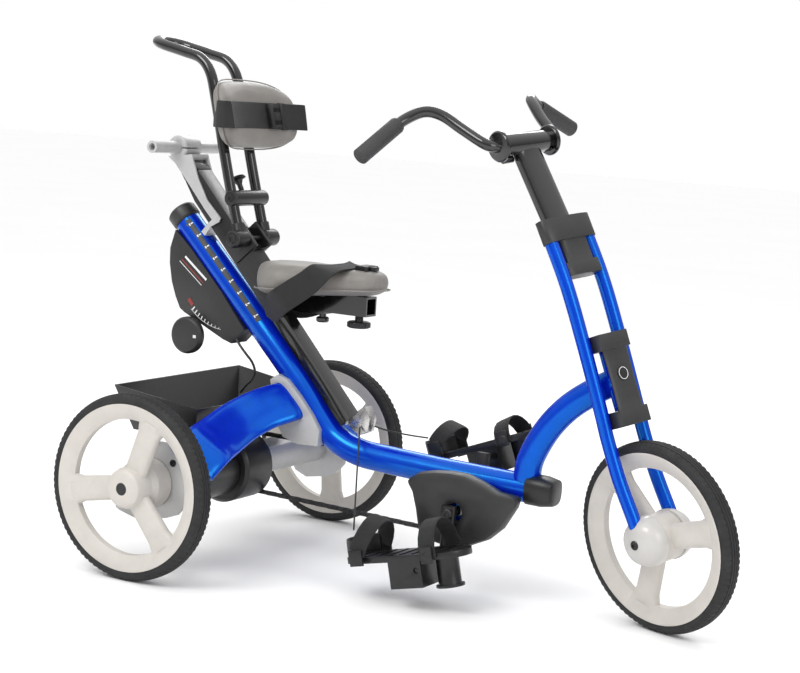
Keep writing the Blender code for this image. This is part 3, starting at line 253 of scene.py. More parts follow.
surface("light_plastic", (0.53, 0.515, 0.495), 0.3, 0.0, 0.3, 0.03, 25.0, 0.05,
        grain_scale=1500.0, grain_depth=0.02)
surface("white_ink", (0.78, 0.78, 0.79), 0.4, 0.0, 0.0, 0.05, 90.0, 0.05,
        grain_scale=2000.0, grain_depth=0.02)
surface("red_ink", (0.26, 0.035, 0.03), 0.4, 0.0, 0.0, 0.1, 90.0, 0.05,
        grain_scale=2000.0, grain_depth=0.02)


# --------------------------------------------------------------------- mesh helpers
def skin(rings, closed):
    """Joins rings of points into one body. A ring of one point is a pole."""
    mesh = bmesh.new()
    rows = [[mesh.verts.new(point) for point in ring] for ring in rings]
    pairs = list(zip(rows, rows[1:]))
    if closed:
        pairs.append((rows[-1], rows[0]))
    for low, high in pairs:
        count = max(len(low), len(high))
        for i in range(count):
            j = (i + 1) % count
            if len(low) == 1:
                mesh.faces.new((low[0], high[j], high[i]))
            elif len(high) == 1:
                mesh.faces.new((low[i], low[j], high[0]))
            else:
                mesh.faces.new((low[i], low[j], high[j], high[i]))
    if not closed:
        for row in (rows[0], rows[-1]):
            if len(row) > 2:
                mesh.faces.new(row)
    bmesh.ops.recalc_face_normals(mesh, faces=mesh.faces)
    return mesh


def axis_frame(axis):
    axis = Vector(axis).normalized()
    helper = Vector((0.0, 0.0, 1.0)) if abs(axis.z) < 0.9 else Vector((1.0, 0.0, 0.0))
    side = helper.cross(axis).normalized()
    return side, axis.cross(side), axis


def lathe(profile, centre=(0.0, 0.0, 0.0), axis=(0.0, 1.0, 0.0), segments=24):
    """Turns (radius, height) points round an axis. Radius 0 makes a pole."""
    side, up, axis = axis_frame(axis)
    segments *= FINE
    rings = []
    for radius, height in profile:
        middle = Vector(centre) + axis * height
        if radius < 1e-6:
            rings.append([middle])
            continue
        ring = []
        for i in range(segments):
            angle = 2.0 * math.pi * i / segments
            ring.append(middle + radius * (math.cos(angle) * side + math.sin(angle) * up))
        rings.append(ring)
    return skin(rings, closed=profile[0][0] > 1e-6)


def disc(radius, low, high, centre=(0.0, 0.0, 0.0), axis=(0.0, 1.0, 0.0), segments=24, edge=0.0):
    """A solid cylinder between two heights on its axis, with chamfered rims."""
    profile = [(0.0, low), (radius - edge, low), (radius, low + edge), (radius, high - edge),
        (radius - edge, high), (0.0, high)]
    if edge == 0.0:
        profile = [(0.0, low), (radius, low), (radius, high), (0.0, high)]
    return lathe(profile, centre, axis, segments)


def smooth_path(points, steps):
    """A smooth curve through the points, with steps between neighbours."""
    steps *= FINE
    points = [Vector(p) for p in points]
    ends = [2 * points[0] - points[1]] + points + [2 * points[-1] - points[-2]]
    path = []
    for a, b, c, d in zip(ends, ends[1:], ends[2:], ends[3:]):
        for k in range(steps):
            t = k / steps
            path.append(0.5 * (2 * b + (c - a) * t + (2 * a - 5 * b + 4 * c - d) * t * t
                + (3 * b - a - 3 * c + d) * t ** 3))
    path.append(points[-1])
    return path


def side_path(points, steps, y=0.0):
    """A smooth curve in a vertical plane, from (x, z) points."""
    return smooth_path([(x, y, z) for x, z in points], steps)


def oval(width, depth, sides, power=2.0):
    """Points of an oval section: width along the side axis, depth along the up axis."""
    section = []
    sides *= FINE
    for i in range(sides):
        angle = 2.0 * math.pi * (i + 0.5) / sides
        c, s = math.cos(angle), math.sin(angle)
        section.append((width * math.copysign(abs(c) ** (2.0 / power), c),
            depth * math.copysign(abs(s) ** (2.0 / power), s)))
    return section


def sweep(path, section, side=(0.0, 1.0, 0.0), scale=None, closed=False, reach=0.0):
    """Carries a section of (side, up) points along a path without twisting it. side may
    also be a list with one direction per point. reach lengthens both ends."""
    path = [Vector(p) for p in path]
    if reach:
        path[0] = path[0] + (path[0] - path[1]).normalized() * reach
        path[-1] = path[-1] + (path[-1] - path[-2]).normalized() * reach
    count = len(path)
    sides = side if isinstance(side, list) else None
    side = Vector(sides[0] if sides else side)
    rings = []
    for i, point in enumerate(path):
        if closed:
            ahead, behind = path[(i + 1) % count], path[i - 1]
        else:
            ahead, behind = path[min(i + 1, count - 1)], path[max(i - 1, 0)]
        tangent = (ahead - behind).normalized()
        if sides:
            side = Vector(sides[i])
        side = (side - tangent * side.dot(tangent)).normalized()
        up = tangent.cross(side)
        wide, deep = scale[i] if scale else (1.0, 1.0)
        rings.append([point + side * (u * wide) + up * (v * deep) for u, v in section])
    return skin(rings, closed)


def tube(path, radius, sides, side=(0.0, 1.0, 0.0), closed=False, reach=0.0):
    """A round bar along a path."""
    return sweep(path, oval(radius, radius, sides), side=side, closed=closed, reach=reach)


def prism(outline, low, high, axis="Y"):
    """Extrudes a closed outline. Along Y it holds (x, z) points, along Z (x, y) ones."""
    rings = []
    for level in (low, high):
        if axis == "Y":
            rings.append([(a, level, b) for a, b in outline])
        elif axis == "Z":
            rings.append([(a, b, level) for a, b in outline])
        else:
            rings.append([(level, a, b) for a, b in outline])
    return skin(rings, closed=False)


def block(low, high):
    return prism([(low[0], low[2]), (high[0], low[2]), (high[0], high[2]), (low[0], high[2])], low[1],
        high[1])


def placed(mesh, matrix):
    bmesh.ops.transform(mesh, matrix=matrix, verts=mesh.verts)
    return mesh


def mirror_y(point):
    return (point[0], -point[1], point[2])


# ----------------------------------------------------------------- pieces on bodies
BODY_OF = {"root": "frame", "brake_knob": "brake_dial", "receiver_knob": "receiver_screw",
    "clamp_knob": "clamp_screw", "back_pad": "back_support", "handlebar": "handlebar_body"}
HUB = Vector((WHEELBASE, 0.0, FRONT_HUB_Z))
TO_FRAME = Matrix.Translation((-ORIGIN_X, 0.0, 0.0))
STEERED = Matrix.Translation(HUB) @ Matrix.Rotation(STEER_TURN, 4, STEER_AXIS) @ Matrix.Translation(-HUB)


def pedal_turn(side):
    label = "right" if side < 0 else "left"
    pin = CRANK_PIVOT + Vector((0.0, 0.0, side * CRANK_LENGTH))
    return (Matrix.Translation(pin) @ Matrix.Rotation(-PEDAL_TILTS[label], 4, (0.0, 1.0, 0.0))
        @ Matrix.Translation(-pin))


PLACES = {"steering": STEERED, "front_wheel": STEERED, "handlebar": STEERED, "right_pedal": pedal_turn(-1),
    "left_pedal": pedal_turn(1)}


def make_object(name, mesh, body):
    """A mesh in design coordinates, put where its body stands at rest."""
    placed(mesh, TO_FRAME @ PLACES.get(body, Matrix.Identity(4)))
    data = bpy.data.meshes.new(name)
    mesh.to_mesh(data)
    mesh.free()
    made = bpy.data.objects.new(name, data)
    bpy.context.scene.collection.objects.link(made)
    return made


def bake(made):
    """Keeps what the modifiers make, and drops them."""
    graph = bpy.context.evaluated_depsgraph_get()
    data = bpy.data.meshes.new_from_object(made.evaluated_get(graph))
    made.modifiers.clear()
    made.data = data


def add(name, material, body, mesh, joined=(), cut=(), bevel=0.0007, stands_for=None, smooth=40.0):
    """One shown piece. joined solids are merged in and cut solids taken out."""
    made = make_object(name, mesh, body)
    helpers = []
    for kind, meshes in (("UNION", joined), ("DIFFERENCE", cut)):
        for tool in meshes:
            helper = make_object("tool", tool, body)
            helpers.append(helper)
            boolean = made.modifiers.new(kind.title(), "BOOLEAN")
            boolean.operation = kind
            boolean.solver = "EXACT"
            boolean.object = helper
    if helpers:
        bake(made)
        for helper in helpers:
            bpy.data.objects.remove(helper, do_unlink=True)
    if bevel:
        rounding = made.modifiers.new("Rounding", "BEVEL")
        rounding.width = bevel
        rounding.segments = 2
        rounding.limit_method = "ANGLE"
        rounding.angle_limit = math.radians(smooth)
        bake(made)
    made.data.materials.clear()
    made.data.materials.append(MATERIALS[material])
    for face in made.data.polygons:
        face.material_index = 0
    made.data.shade_smooth()
    made.data.set_sharp_from_angle(angle=math.radians(smooth))
    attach(made, BODY_OF.get(body, body))
    for cad in stands_for or ():
        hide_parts(cad)
    return made


def shape(name, material, body, mesh, joined=(), cut=(), bevel=0.0007, more=()):
    """A piece that stands for the CAD node of the same name."""
    return add(name + "_look", material, body, mesh, joined, cut, bevel, [name, *more])


def trim(name, material, body, mesh, joined=(), cut=(), bevel=0.0):
    """A small shown piece that has no CAD node."""
    return add(name, material, body, mesh, joined, cut, bevel)


def band(name, material, body, path, half, thick, side=(0.0, 1.0, 0.0), closed=False, node_name=True):
    """A woven band: like sweep, with the weave laid along it in metres."""
    section = oval(half, thick, 8, 5.0)
    mesh = sweep(path, section, side=side, closed=closed)
    layer = mesh.loops.layers.uv.new("weave")
    mesh.verts.ensure_lookup_table()
    count = len(section)
    rows = len(mesh.verts) // count
    run = [0.0]
    for i in range(1, rows + 1):
        here = mesh.verts[(i % rows) * count].co
        run.append(run[-1] + (here - mesh.verts[(i - 1) * count].co).length)
    for face in mesh.faces:
        rows_here = [loop.vert.index // count for loop in face.loops]
        wraps = closed and 0 in rows_here and rows - 1 in rows_here
        for loop, row in zip(face.loops, rows_here):
            along = run[rows] if wraps and row == 0 else run[row]
            loop[layer].uv = (along, section[loop.vert.index % count][0])
    if node_name:
        return shape(name, material, body, mesh, bevel=0.0)
    return trim(name, material, body, mesh)


def add_tyre(name, centre, body):
    """Tyre with a ribbed middle and small blocks on its shoulders."""
    half = [(0.1525, 0.0016), (0.1514, 0.002), (0.1514, 0.0032), (0.1524, 0.0036), (0.1521, 0.0066),
        (0.1508, 0.007), (0.1506, 0.0082), (0.1516, 0.0086), (0.1508, 0.0112), (0.1496, 0.0132),
        (0.1478, 0.015), (0.1462, 0.0158), (0.1442, 0.0166), (0.1425, 0.017), (0.14, 0.0166),
        (0.1375, 0.0158), (0.1358, 0.0146), (0.1345, 0.013)]
    blocks = (0.0086, 0.0155)
    profile = [(r, h) for r, h in half] + [(r, -h) for r, h in reversed(half)]
    side, up, axis = axis_frame((0.0, 1.0, 0.0))
    rings = []
    around = 270
    for radius, height in profile:
        ring = []
        for i in range(around):
            angle = 2.0 * math.pi * i / around
            shift = 1 if height < 0.0 else 0
            gap = 0.0016 if blocks[0] <= abs(height) <= blocks[1] and (i + shift) % 3 == 0 else 0.0
            reach = radius - gap
            ring.append(Vector(centre) + axis * height
                + reach * (math.cos(angle) * side + math.sin(angle) * up))
        rings.append(ring)
    shape(name, "tyre_rubber", body, skin(rings, closed=True), bevel=0.0)


def add_cord(name, material, radius, route, steps):
    """A cord as one smooth curve, held at both ends."""
    points = [TO_FRAME @ p for p in smooth_path(route, steps)]
    curve = bpy.data.curves.new(name + "_look", "CURVE")
    curve.dimensions = "3D"
    curve.bevel_depth = radius
    curve.bevel_resolution = 4
    curve.use_fill_caps = True
    spline = curve.splines.new("POLY")
    spline.points.add(len(points) - 1)
    for knot, point in zip(spline.points, points):
        knot.co = (*point, 1.0)
    curve.materials.append(MATERIALS[material])
    made = bpy.data.objects.new(name + "_look", curve)
    bpy.context.scene.collection.objects.link(made)
    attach(made, "frame")
    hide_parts(name)
    return made


def add_cords():
    """The brake cable and the two levelling cords, by the routes the CAD gives them."""
    add_cord("brake_cable", "black_plastic", 0.0022,
        [(0.0, -0.0262, 0.372), (0.009, -0.028, 0.362), (0.022, -0.029, 0.35), (0.036, -0.028, 0.336),
            (0.042, -0.027, 0.32), (0.036, -0.026, 0.305), (0.025, -0.025, 0.295), (0.012, -0.024, 0.28)], 1)
    add_cord("right_pedal_cord", "black_plastic", 0.0014,
        [(0.25, -0.0135, 0.251), (0.27, -0.048, 0.203), (0.292, -0.085, 0.153), (0.314, -0.122, 0.104)], 2)
    add_cord("left_pedal_cord", "black_plastic", 0.0014,
        [(0.255, 0.0135, 0.252), (0.272, 0.048, 0.24), (0.29, 0.085, 0.231), (0.308, 0.121, 0.224)], 2)


def chain_links():
    """Side plates and rollers all the way round both sprockets."""
    loop = [Vector((x, 0.0, z)) for x, z in chain_outline(0.0021)]
    loop.append(loop[0])
    legs = [(b - a).length for a, b in zip(loop, loop[1:])]
    total = sum(legs)
    count = 2 * round(total / (2 * CHAIN_PITCH))
    pins = []
    for i in range(count):
        left = total * i / count
        for start, end, leg in zip(loop, loop[1:], legs):
            if left <= leg:
                pins.append(start.lerp(end, left / leg))
                break
            left -= leg
    mesh = bmesh.new()
    for i, pin in enumerate(pins):
        after = pins[(i + 1) % count]
        along = (after - pin).normalized()
        across = Vector((-along.z, 0.0, along.x))
        outer = i % 2 == 0
        reach = 0.0034 if outer else 0.0022
        plate = []
        for k in range(12):
            angle = 2 * math.pi * k / 12
            end = pin if math.cos(angle) < 0 else after
            point = end + along * (LINK_R * math.cos(angle)) + across * (LINK_R * math.sin(angle))
            plate.append((point.x, point.z))
        for side in (-1, 1):
            y = CHAIN_Y + side * reach
            join(mesh, prism(plate, y, y + side * 0.0008))
        join(mesh, disc(0.0026, -0.003, 0.003, (pin.x, CHAIN_Y, pin.z), segments=4))
    return mesh


def join(mesh, extra):
    """Adds one mesh's bodies to another."""
    data = bpy.data.meshes.new("joint")
    extra.to_mesh(data)
    extra.free()
    mesh.from_mesh(data)
    bpy.data.meshes.remove(data)


def tube_patch(along0, along1, turn0, turn1, lift, steps=6):
    """A thin plate lying on the main tube's near side."""
    top, low = main_path()[0], main_path()[1]
    run = (low - top).normalized()
    out = Vector((-run.z, 0.0, run.x))
    mesh_rings = []
    for along in (along0, along1):
        ring = []
        for radius in (MAIN_R - 0.0004, MAIN_R + lift):
            turns = range(steps + 1) if radius < MAIN_R else range(steps, -1, -1)
            for k in turns:
                turn = math.radians(turn0 + (turn1 - turn0) * k / steps)
                ring.append(top + run * along + out * (radius * math.cos(turn))
                    + Vector((0.0, -radius * math.sin(turn), 0.0)))
        mesh_rings.append(ring)
    return skin(mesh_rings, closed=False)


def add_scale():
    """Height scale on the main tube: a dark strip with nine white marks."""
    trim("scale_strip", "grey_plastic", "root", tube_patch(0.004, 0.232, 47.0, 70.0, 0.0004))
    for i in range(9):
        along = 0.0135 + 0.0258 * i
        trim(f"scale_mark_{i}", "white_ink", "root", tube_patch(along, along + 0.0022, 47.0, 58.0, 0.0007))
        trim(f"scale_dot_{i}", "white_ink", "root",
            tube_patch(along - 0.001, along + 0.0034, 61.0, 66.0, 0.0007))


def arc_patch(centre, radius0, radius1, start, end, y0, y1, steps=14):
    """A flat arc on a plate that faces the rider's right."""
    points = []
    for radius in (radius0, radius1):
        order = range(steps + 1) if radius == radius0 else range(steps, -1, -1)
        for k in order:
            angle = math.radians(start + (end - start) * k / steps)
            points.append((centre.x + radius * math.cos(angle), centre.z + radius * math.sin(angle)))
    return prism(points, y0, y1)


def add_brake_details():
    """The scale printed along the housing's lower rim, and plain stripes on its side."""
    trim("brake_scale", "red_ink", "root",
        arc_patch(PRINT_MIDDLE, 0.093, 0.1, 216.0, 224.0, PRINT_FRONT, PRINT_BACK))
    trim("brake_scale_line", "white_ink", "root",
        arc_patch(PRINT_MIDDLE, 0.1032, 0.1038, 226.0, 266.0, PRINT_FRONT, PRINT_BACK))
    for i in range(9):
        angle = 226.5 + 4.6 * i
        trim(f"brake_tick_{i}", "white_ink", "root", arc_patch(PRINT_MIDDLE, 0.095 + 0.0007 * i, 0.103,
                angle, angle + 1.3 - 0.1 * i, PRINT_FRONT, PRINT_BACK, 2))
    run = Vector((0.79, 0.0, -0.613))
    across = Vector((0.613, 0.0, 0.79))
    for i, (x, z, length, half, ink) in enumerate(((-0.1195, 0.504, 0.06, 0.0019, "white_ink"),
            (-0.1265, 0.4985, 0.06, 0.0009, "red_ink"), (-0.131, 0.495, 0.062, 0.0006, "white_ink"))):
        start = Vector((x, 0.0, z))
        corners = [start - across * half, start + run * length - across * half,
            start + run * length + across * half, start + across * half]
        trim(f"housing_stripe_{i}", ink, "root", prism([(p.x, p.z) for p in corners], -0.0235, -0.0228))
    trim("knob_pointer", "white_ink", "brake_knob", block(
            (BRAKE_PIVOT.x + 0.0175, -0.0408, BRAKE_PIVOT.z - 0.0026),
            (BRAKE_PIVOT.x + 0.0235, -0.0398, BRAKE_PIVOT.z + 0.0026)))


def bolt(name, centre, axis, radius, body, material="dark_steel", height=0.003):
    """A socket-headed bolt."""
    socket = disc(radius * 0.5, height * 0.4, height * 1.5, centre, axis, 2)
    return trim(name, material, body, disc(radius, -0.001, height, centre, axis, 8, radius * 0.15),
        cut=[socket])


def add_fittings():
    bolt("scale_bolt", (-0.119, -0.019, 0.559), (0.35, -0.8, 0.48), 0.0042, "root")
    for label, side in SIDES:
        bolt(f"{label}_plate_bolt", (0.041, side * 0.2485, 0.19), (0, side, 0), 0.006, "root")
        end = side * (TRACK_HALF + 0.0195)
        wheel = "drive_axle" if side < 0 else "left_wheel"
        trim(f"{label}_hub_cap", "black_plastic", wheel, lathe(
                [(0.0, -0.004), (0.0143, -0.004), (0.0143, 0.004), (0.012, 0.0062), (0.0, 0.0066)],
                (0.0, end - side * 0.0005, AXLE_Z), (0, side, 0), 12))
        dome = Vector((WHEELBASE, side * 0.055, FRONT_HUB_Z))
        bolt(f"{label}_dome_bolt", dome, (0, side, 0), 0.0074, "steering", "black_plastic", 0.0028)
        cap = BAR_PIVOT + Vector((0.0, side * 0.0588, 0.0))
        bolt(f"{label}_bar_bolt", cap, (0, side, 0), 0.009, "handlebar", "black_plastic", 0.0022)
        clamp = CLAMP_MIDDLE + Vector((0.0, side * 0.0498, 0.0))
        bolt(f"{label}_clamp_bolt", clamp, (0, side, 0), 0.006, "backrest", "dark_steel", 0.0022)
        pivot = RECLINE_PIVOT + Vector((0.0, side * 0.0638, 0.0))
        bolt(f"{label}_pivot_bolt", pivot, (0, side, 0), 0.008, "backrest", "black_plastic", 0.0022)
    crank = CRANK_PIVOT + Vector((0.0, -0.0705, 0.0))
    bolt("crank_bolt", crank, (0, -1, 0), 0.0078, "crank", "black_plastic", 0.0025)


def swell(made, cap, frames=20):
    """Lets a pad puff up like fabric over foam, by no more than the cap."""
    remesh = made.modifiers.new("Remesh", "REMESH")
    remesh.mode = "VOXEL"
    remesh.voxel_size = VOXEL
    remesh.use_smooth_shade = True
    bake(made)
    before = [v.co.copy() for v in made.data.vertices]
    cloth = made.modifiers.new("Cloth", "CLOTH")
    cloth.settings.use_pressure = True
    cloth.settings.uniform_pressure_force = 4.0
    cloth.settings.effector_weights.gravity = 0.0
    cloth.settings.quality = 5
    scene = bpy.context.scene
    for number in range(1, frames + 1):
        scene.frame_set(number)
    bake(made)
    scene.frame_set(1)
    for vertex, start in zip(made.data.vertices, before):
        move = vertex.co - start
        if move.length > cap:
            vertex.co = start + move.normalized() * cap
    smoothing = made.modifiers.new("Smooth", "SMOOTH")
    smoothing.iterations = 6
    finer = made.modifiers.new("Finer", "SUBSURF")
    finer.levels = 1
    finer.render_levels = 1
    bake(made)
    made.data.shade_smooth()


# --------------------------------------------------------------------------- wheels
def rim_profile():
    """The rim's ring: the outer faces dish inwards to the spokes."""
    half = [(RIM_SEAT_R, 0.0125), (0.137 - GAP, 0.0163), (0.1335, 0.0168), (RIM_INNER_R, 0.006)]
    return half + [(r, -h) for r, h in reversed(half)]


def spoke(centre, angle, width=0.021, depth=0.011):
    """A broad rounded spoke in the wheel's plane, flared where it meets the rim."""
    centre = Vector(centre)
    direction = Vector((math.cos(angle), 0.0, math.sin(angle)))
    stations = (0.012, 0.035, 0.095, 0.116)
    scale = [(1.0, 0.9), (1.0, 0.95), (1.0, 1.0), (0.85, 1.35)]
    return sweep([centre + direction * r for r in stations], oval(depth, width, 8, 2.6),
        side=(0.0, 1.0, 0.0), scale=scale)


def add_wheel(label, centre, body, hub_profile, first_angle, hub_bore):
    centre = Vector(centre)
    add_tyre(label + "_tyre", centre, body)
    spokes = [spoke(centre, first_angle + 2.0 * math.pi * i / SPOKE_COUNT) for i in range(SPOKE_COUNT)]
    hub = lathe(hub_profile, centre, segments=24)
    shape(label + "_rim", "rim_plastic", body, lathe(rim_profile(), centre, segments=WHEEL_SEGMENTS),
        joined=spokes + [hub], cut=[disc(hub_bore, -0.08, 0.08, centre, segments=16)])


def add_rear_wheel(label, side, body, first_angle):
    """side is -1 on the rider's right and +1 on the left. The hub boss faces outwards."""
    y = side * TRACK_HALF
    hub = [(0.0, side * 0.0255), (0.024, side * 0.0255), (0.031, side * 0.021), (0.034, side * 0.01),
        (0.034, -side * 0.012), (0.041, -side * 0.02), (0.041, -side * 0.054), (0.0, -side * 0.054)]
    add_wheel(label, (0.0, y, AXLE_Z), body, hub, first_angle, AXLE_R + GAP)


# ---------------------------------------------------------------------------- frame
def main_path():
    bend = [(0.0733, 0.3575), (0.13, 0.299), (0.164, 0.256), (0.196, 0.224), (0.242, 0.206), (0.3, 0.201),
        (0.4, 0.1965)]
    path = side_path(bend, 2)
    return [Vector((-0.1325, 0.0, 0.5629))] + path + [Vector((0.566, 0.0, 0.1932))]


def neck_path():
    points = [(0.558, 0.206), (0.564, 0.244), (0.589, 0.293), (0.623, 0.333), (0.664, 0.364),
        (0.698, 0.384)]
    return side_path(points, 3)


def steer_point(height, ahead=0.0, y=0.0):
    """A point of the straight steering frame, from its height along the steering axis."""
    forward = Vector((math.cos(STEER_TILT), 0.0, math.sin(STEER_TILT)))
    point = HUB + STEER_AXIS * height + forward * ahead
    return Vector((point.x, y, point.z))


def rail_point(along, out=0.0, y=0.0):
    """A point of the seat rail's own frame: along it from the top, and out from it."""
    run = Vector((math.cos(RAIL_ANGLE), 0.0, -math.sin(RAIL_ANGLE)))
    rise = Vector((math.sin(RAIL_ANGLE), 0.0, math.cos(RAIL_ANGLE)))
    point = RAIL_TOP + run * along + rise * out
    return Vector((point.x, y, point.z))


def rail_prism(outline, half):
    """A block lying along the seat rail, from an outline of (along, out) points."""
    points = [rail_point(along, out) for along, out in outline]
    return prism([(p.x, p.z) for p in points], -half, half)


def rail_box(along0, along1, out0, out1, half):
    return rail_prism([(along0, out0), (along1, out0), (along1, out1), (along0, out1)], half)


def add_frame():
    path = main_path()
    neck = neck_path()
    last = len(neck) - 1
    scale = [(1.0 - 0.36 * i / last, 1.0 - 0.05 * i / last) for i in range(last + 1)]
    hanger = disc(HANGER_R, -HANGER_HALF, HANGER_HALF, CRANK_PIVOT, segments=20)
    stand = block((CRANK_PIVOT.x - 0.018, -0.012, CRANK_PIVOT.z + 0.01),
        (CRANK_PIVOT.x + 0.018, 0.012, CRANK_PIVOT.z + 0.045))
    shape("main_frame", "blue_paint", "root", tube(path, MAIN_R, 14),
        joined=[sweep(neck, oval(NECK_R, NECK_R, 12), scale=scale), head_tube_solid(HEAD_R, 0.0), hanger,
            stand], cut=[head_tube_solid(SHAFT_R + GAP, 0.02),
            disc(SPINDLE_R + GAP, -0.1, 0.1, CRANK_PIVOT, segments=16)])
    top = path[0]
    down = (path[1] - path[0]).normalized()
    shape("main_tube_cap", "grey_plastic", "root", disc(0.0262, GAP, 0.027, top, -down, 20, 0.004))
    tip = path[-1]
    ahead = (path[-1] - path[-2]).normalized()
    shape("boom_end_cap", "black_plastic", "root", sweep([tip + ahead * s for s in (GAP, 0.026, 0.045)],
            oval(0.0262, 0.0245, 12, 3.0), scale=[(1, 1), (1, 1), (0.9, 0.85)]),
        cut=[sweep(neck, oval(NECK_R + GAP, NECK_R + GAP, 12), scale=scale, reach=GAP)])
    shape("seat_rail", "black_tube", "root", rail_prism([(0.002, -0.0133), (0.06, RAIL_LOW),
                (RAIL_LENGTH, RAIL_LOW), (RAIL_LENGTH, RAIL_HIGH), (0.002, RAIL_HIGH)],
            RAIL_HALF), joined=[rail_prism(
            [(0.0, -0.0125), (RAIL_END, -0.0155), (RAIL_END, SLEEVE_HIGH), (0.0, SLEEVE_HIGH)],
            SLEEVE_HALF)],
        cut=[main_clearance()])


def main_clearance():
    """The main tube's own path, a clearance fatter."""
    return tube(main_path(), MAIN_R + GAP, 14, reach=GAP)


def head_tube_solid(radius, extra, sides=16):
    """A round bar along the steering axis, longer than the head tube by extra at each end."""
    return tube([steer_point(HEAD_LOW - extra), steer_point(HEAD_HIGH + extra)], radius, sides)


def collar_outline():
    return [(0.078, 0.312), (0.092, 0.322), (0.112, 0.316), (0.14, 0.29), (0.165, 0.262), (0.182, 0.238),
        (0.18, 0.2105), (0.14, 0.2085), (0.11, 0.217), (0.095, 0.24)]


def arch_points():
    """The rear arch's middle line, from the middle out over the axle housing."""
    return [(0.119, 0.02, 0.2815), (0.117, 0.035, 0.279), (0.0935, 0.07, 0.267), (0.076, 0.115, 0.248),
        (0.074, 0.17, 0.228), (0.079, 0.21, 0.218), (0.072, 0.242, 0.195)]


def arch_solid(grow):
    """The wide curved band from one axle plate up over the middle to the other."""
    half = smooth_path(arch_points(), 2)
    right = [mirror_y(p) for p in reversed(half)]
    flare = [1.0 + 0.25 * i / (len(half) - 1) for i in range(len(half))]
    widths = [(w, 1.0) for w in list(reversed(flare)) + flare]
    slope = Vector((1.0, 0.0, -1.0)).normalized()
    return sweep(right + half, oval(0.036 + grow, 0.0095 + grow, 14, 3.2), side=slope, scale=widths)


def add_rear_frame():
    shape("arch_collar", "light_casting", "root", prism(collar_outline(), -COLLAR_HALF, COLLAR_HALF),
        cut=[main_clearance(), arch_solid(2 * GAP)])
    shape("rear_arch", "blue_paint", "root", arch_solid(0.0), cut=[main_clearance()])
    plate = [(0.01, 0.221), (0.025, 0.221), (0.052, 0.196), (0.07, 0.16), (0.069, 0.125), (0.052, 0.105),
        (0.031, 0.097), (-0.01, 0.09), (-0.035, 0.1), (-0.052, 0.13), (-0.05, 0.165), (-0.03, 0.2)]
    arm = prism([(-0.065, 0.113), (-0.073, 0.109), (-0.073, 0.099), (-0.065, 0.095), (-0.02, 0.084),
            (-0.02, 0.104)],
        -0.249, -0.245)
    drum = disc(0.03, 0.048, 0.242, (0, 0, AXLE_Z), segments=20, edge=0.004)
    for label, side, extra in (("right", -1, arm), ("left", 1, drum)):
        low, high = sorted((side * 0.24, side * 0.249))
        shape(f"{label}_axle_plate", "light_casting", "root", prism(plate, low, high), joined=[extra],
            cut=[axle_clearance(), arch_solid(2 * GAP)])
    shape("axle_housing", "black_plastic", "root",
        disc(0.046, -0.239, -0.058, (0, 0, AXLE_Z - 0.003), segments=24, edge=0.006),
        joined=[disc(0.06, -0.059, 0.0225, (0, 0, AXLE_Z - 0.003), segments=28, edge=0.006)],
        cut=[axle_clearance(), prism(collar_outline(), -COLLAR_HALF - GAP, COLLAR_HALF + GAP),
            arch_solid(GAP)])


def axle_clearance():
    return disc(AXLE_R + 2 * GAP, -0.3, 0.3, (0, 0, AXLE_Z), segments=16)


def add_basket():
    """Open tray with flared sides, between the rear wheels and behind the arch."""
    floor = [(-0.115, -0.155, 0.213), (0.008, -0.15, 0.213), (0.008, 0.15, 0.213), (-0.115, 0.155, 0.213)]
    top = [(-0.137, -0.185, 0.291), (0.032, -0.175, 0.269), (0.032, 0.175, 0.269), (-0.137, 0.185, 0.291)]
    wall = 0.003
    inner_floor = [(x + math.copysign(wall, -0.05 - x), y - math.copysign(wall, y), z + wall)
        for x, y, z in floor]
    inner_top = [(x + math.copysign(wall, -0.05 - x), y - math.copysign(wall, y), z) for x, y, z in top]
    shape("basket", "black_plastic", "root", skin([inner_floor, inner_top, top, floor], False))


def add_brake_housing():
    outline = [(-0.1435, 0.5487), (-0.1532, 0.5162), (-0.1528, 0.4903), (-0.1463, 0.4572),
        (-0.1367, 0.4322), (-0.1264, 0.4127), (-0.1169, 0.4063), (-0.031, 0.3676), (-0.0129, 0.3623),
        (0.0121, 0.3892), (-0.04, 0.45), (-0.11, 0.52)]
    shape("brake_housing", "grey_plastic", "root", prism(outline, -0.023, 0.023), cut=[main_clearance()],
        bevel=0.006)
    shape("brake_knob", "grey_plastic", "brake_knob",
        disc(0.0325, -0.04, -0.0233, BRAKE_PIVOT, segments=24, edge=0.004))


# ----------------------------------------------------------------------- drive train
def ring_arc(centre, radius, start, end, count):
    points = []
    for i in range(count + 1):
        angle = start + (end - start) * i / count
        points.append((centre.x + radius * math.cos(angle), centre.z + radius * math.sin(angle)))
    return points


def chain_outline(grow):
    """The chain's loop round both sprockets, grown outwards by a margin."""
    rear = Vector((0.0, 0.0, AXLE_Z))
    run = CRANK_PIVOT - rear
    tilt = math.atan2(run.z, run.x)
    open_angle = math.asin((FRONT_SPROCKET_R - REAR_SPROCKET_R) / run.length)
    upper = tilt + math.pi / 2 + open_angle
    lower = tilt - math.pi / 2 - open_angle
    front = ring_arc(CRANK_PIVOT, FRONT_SPROCKET_R + grow, lower, upper, 12)
    back = ring_arc(rear, REAR_SPROCKET_R + grow, upper, lower + 2 * math.pi, 12)
    return front + back


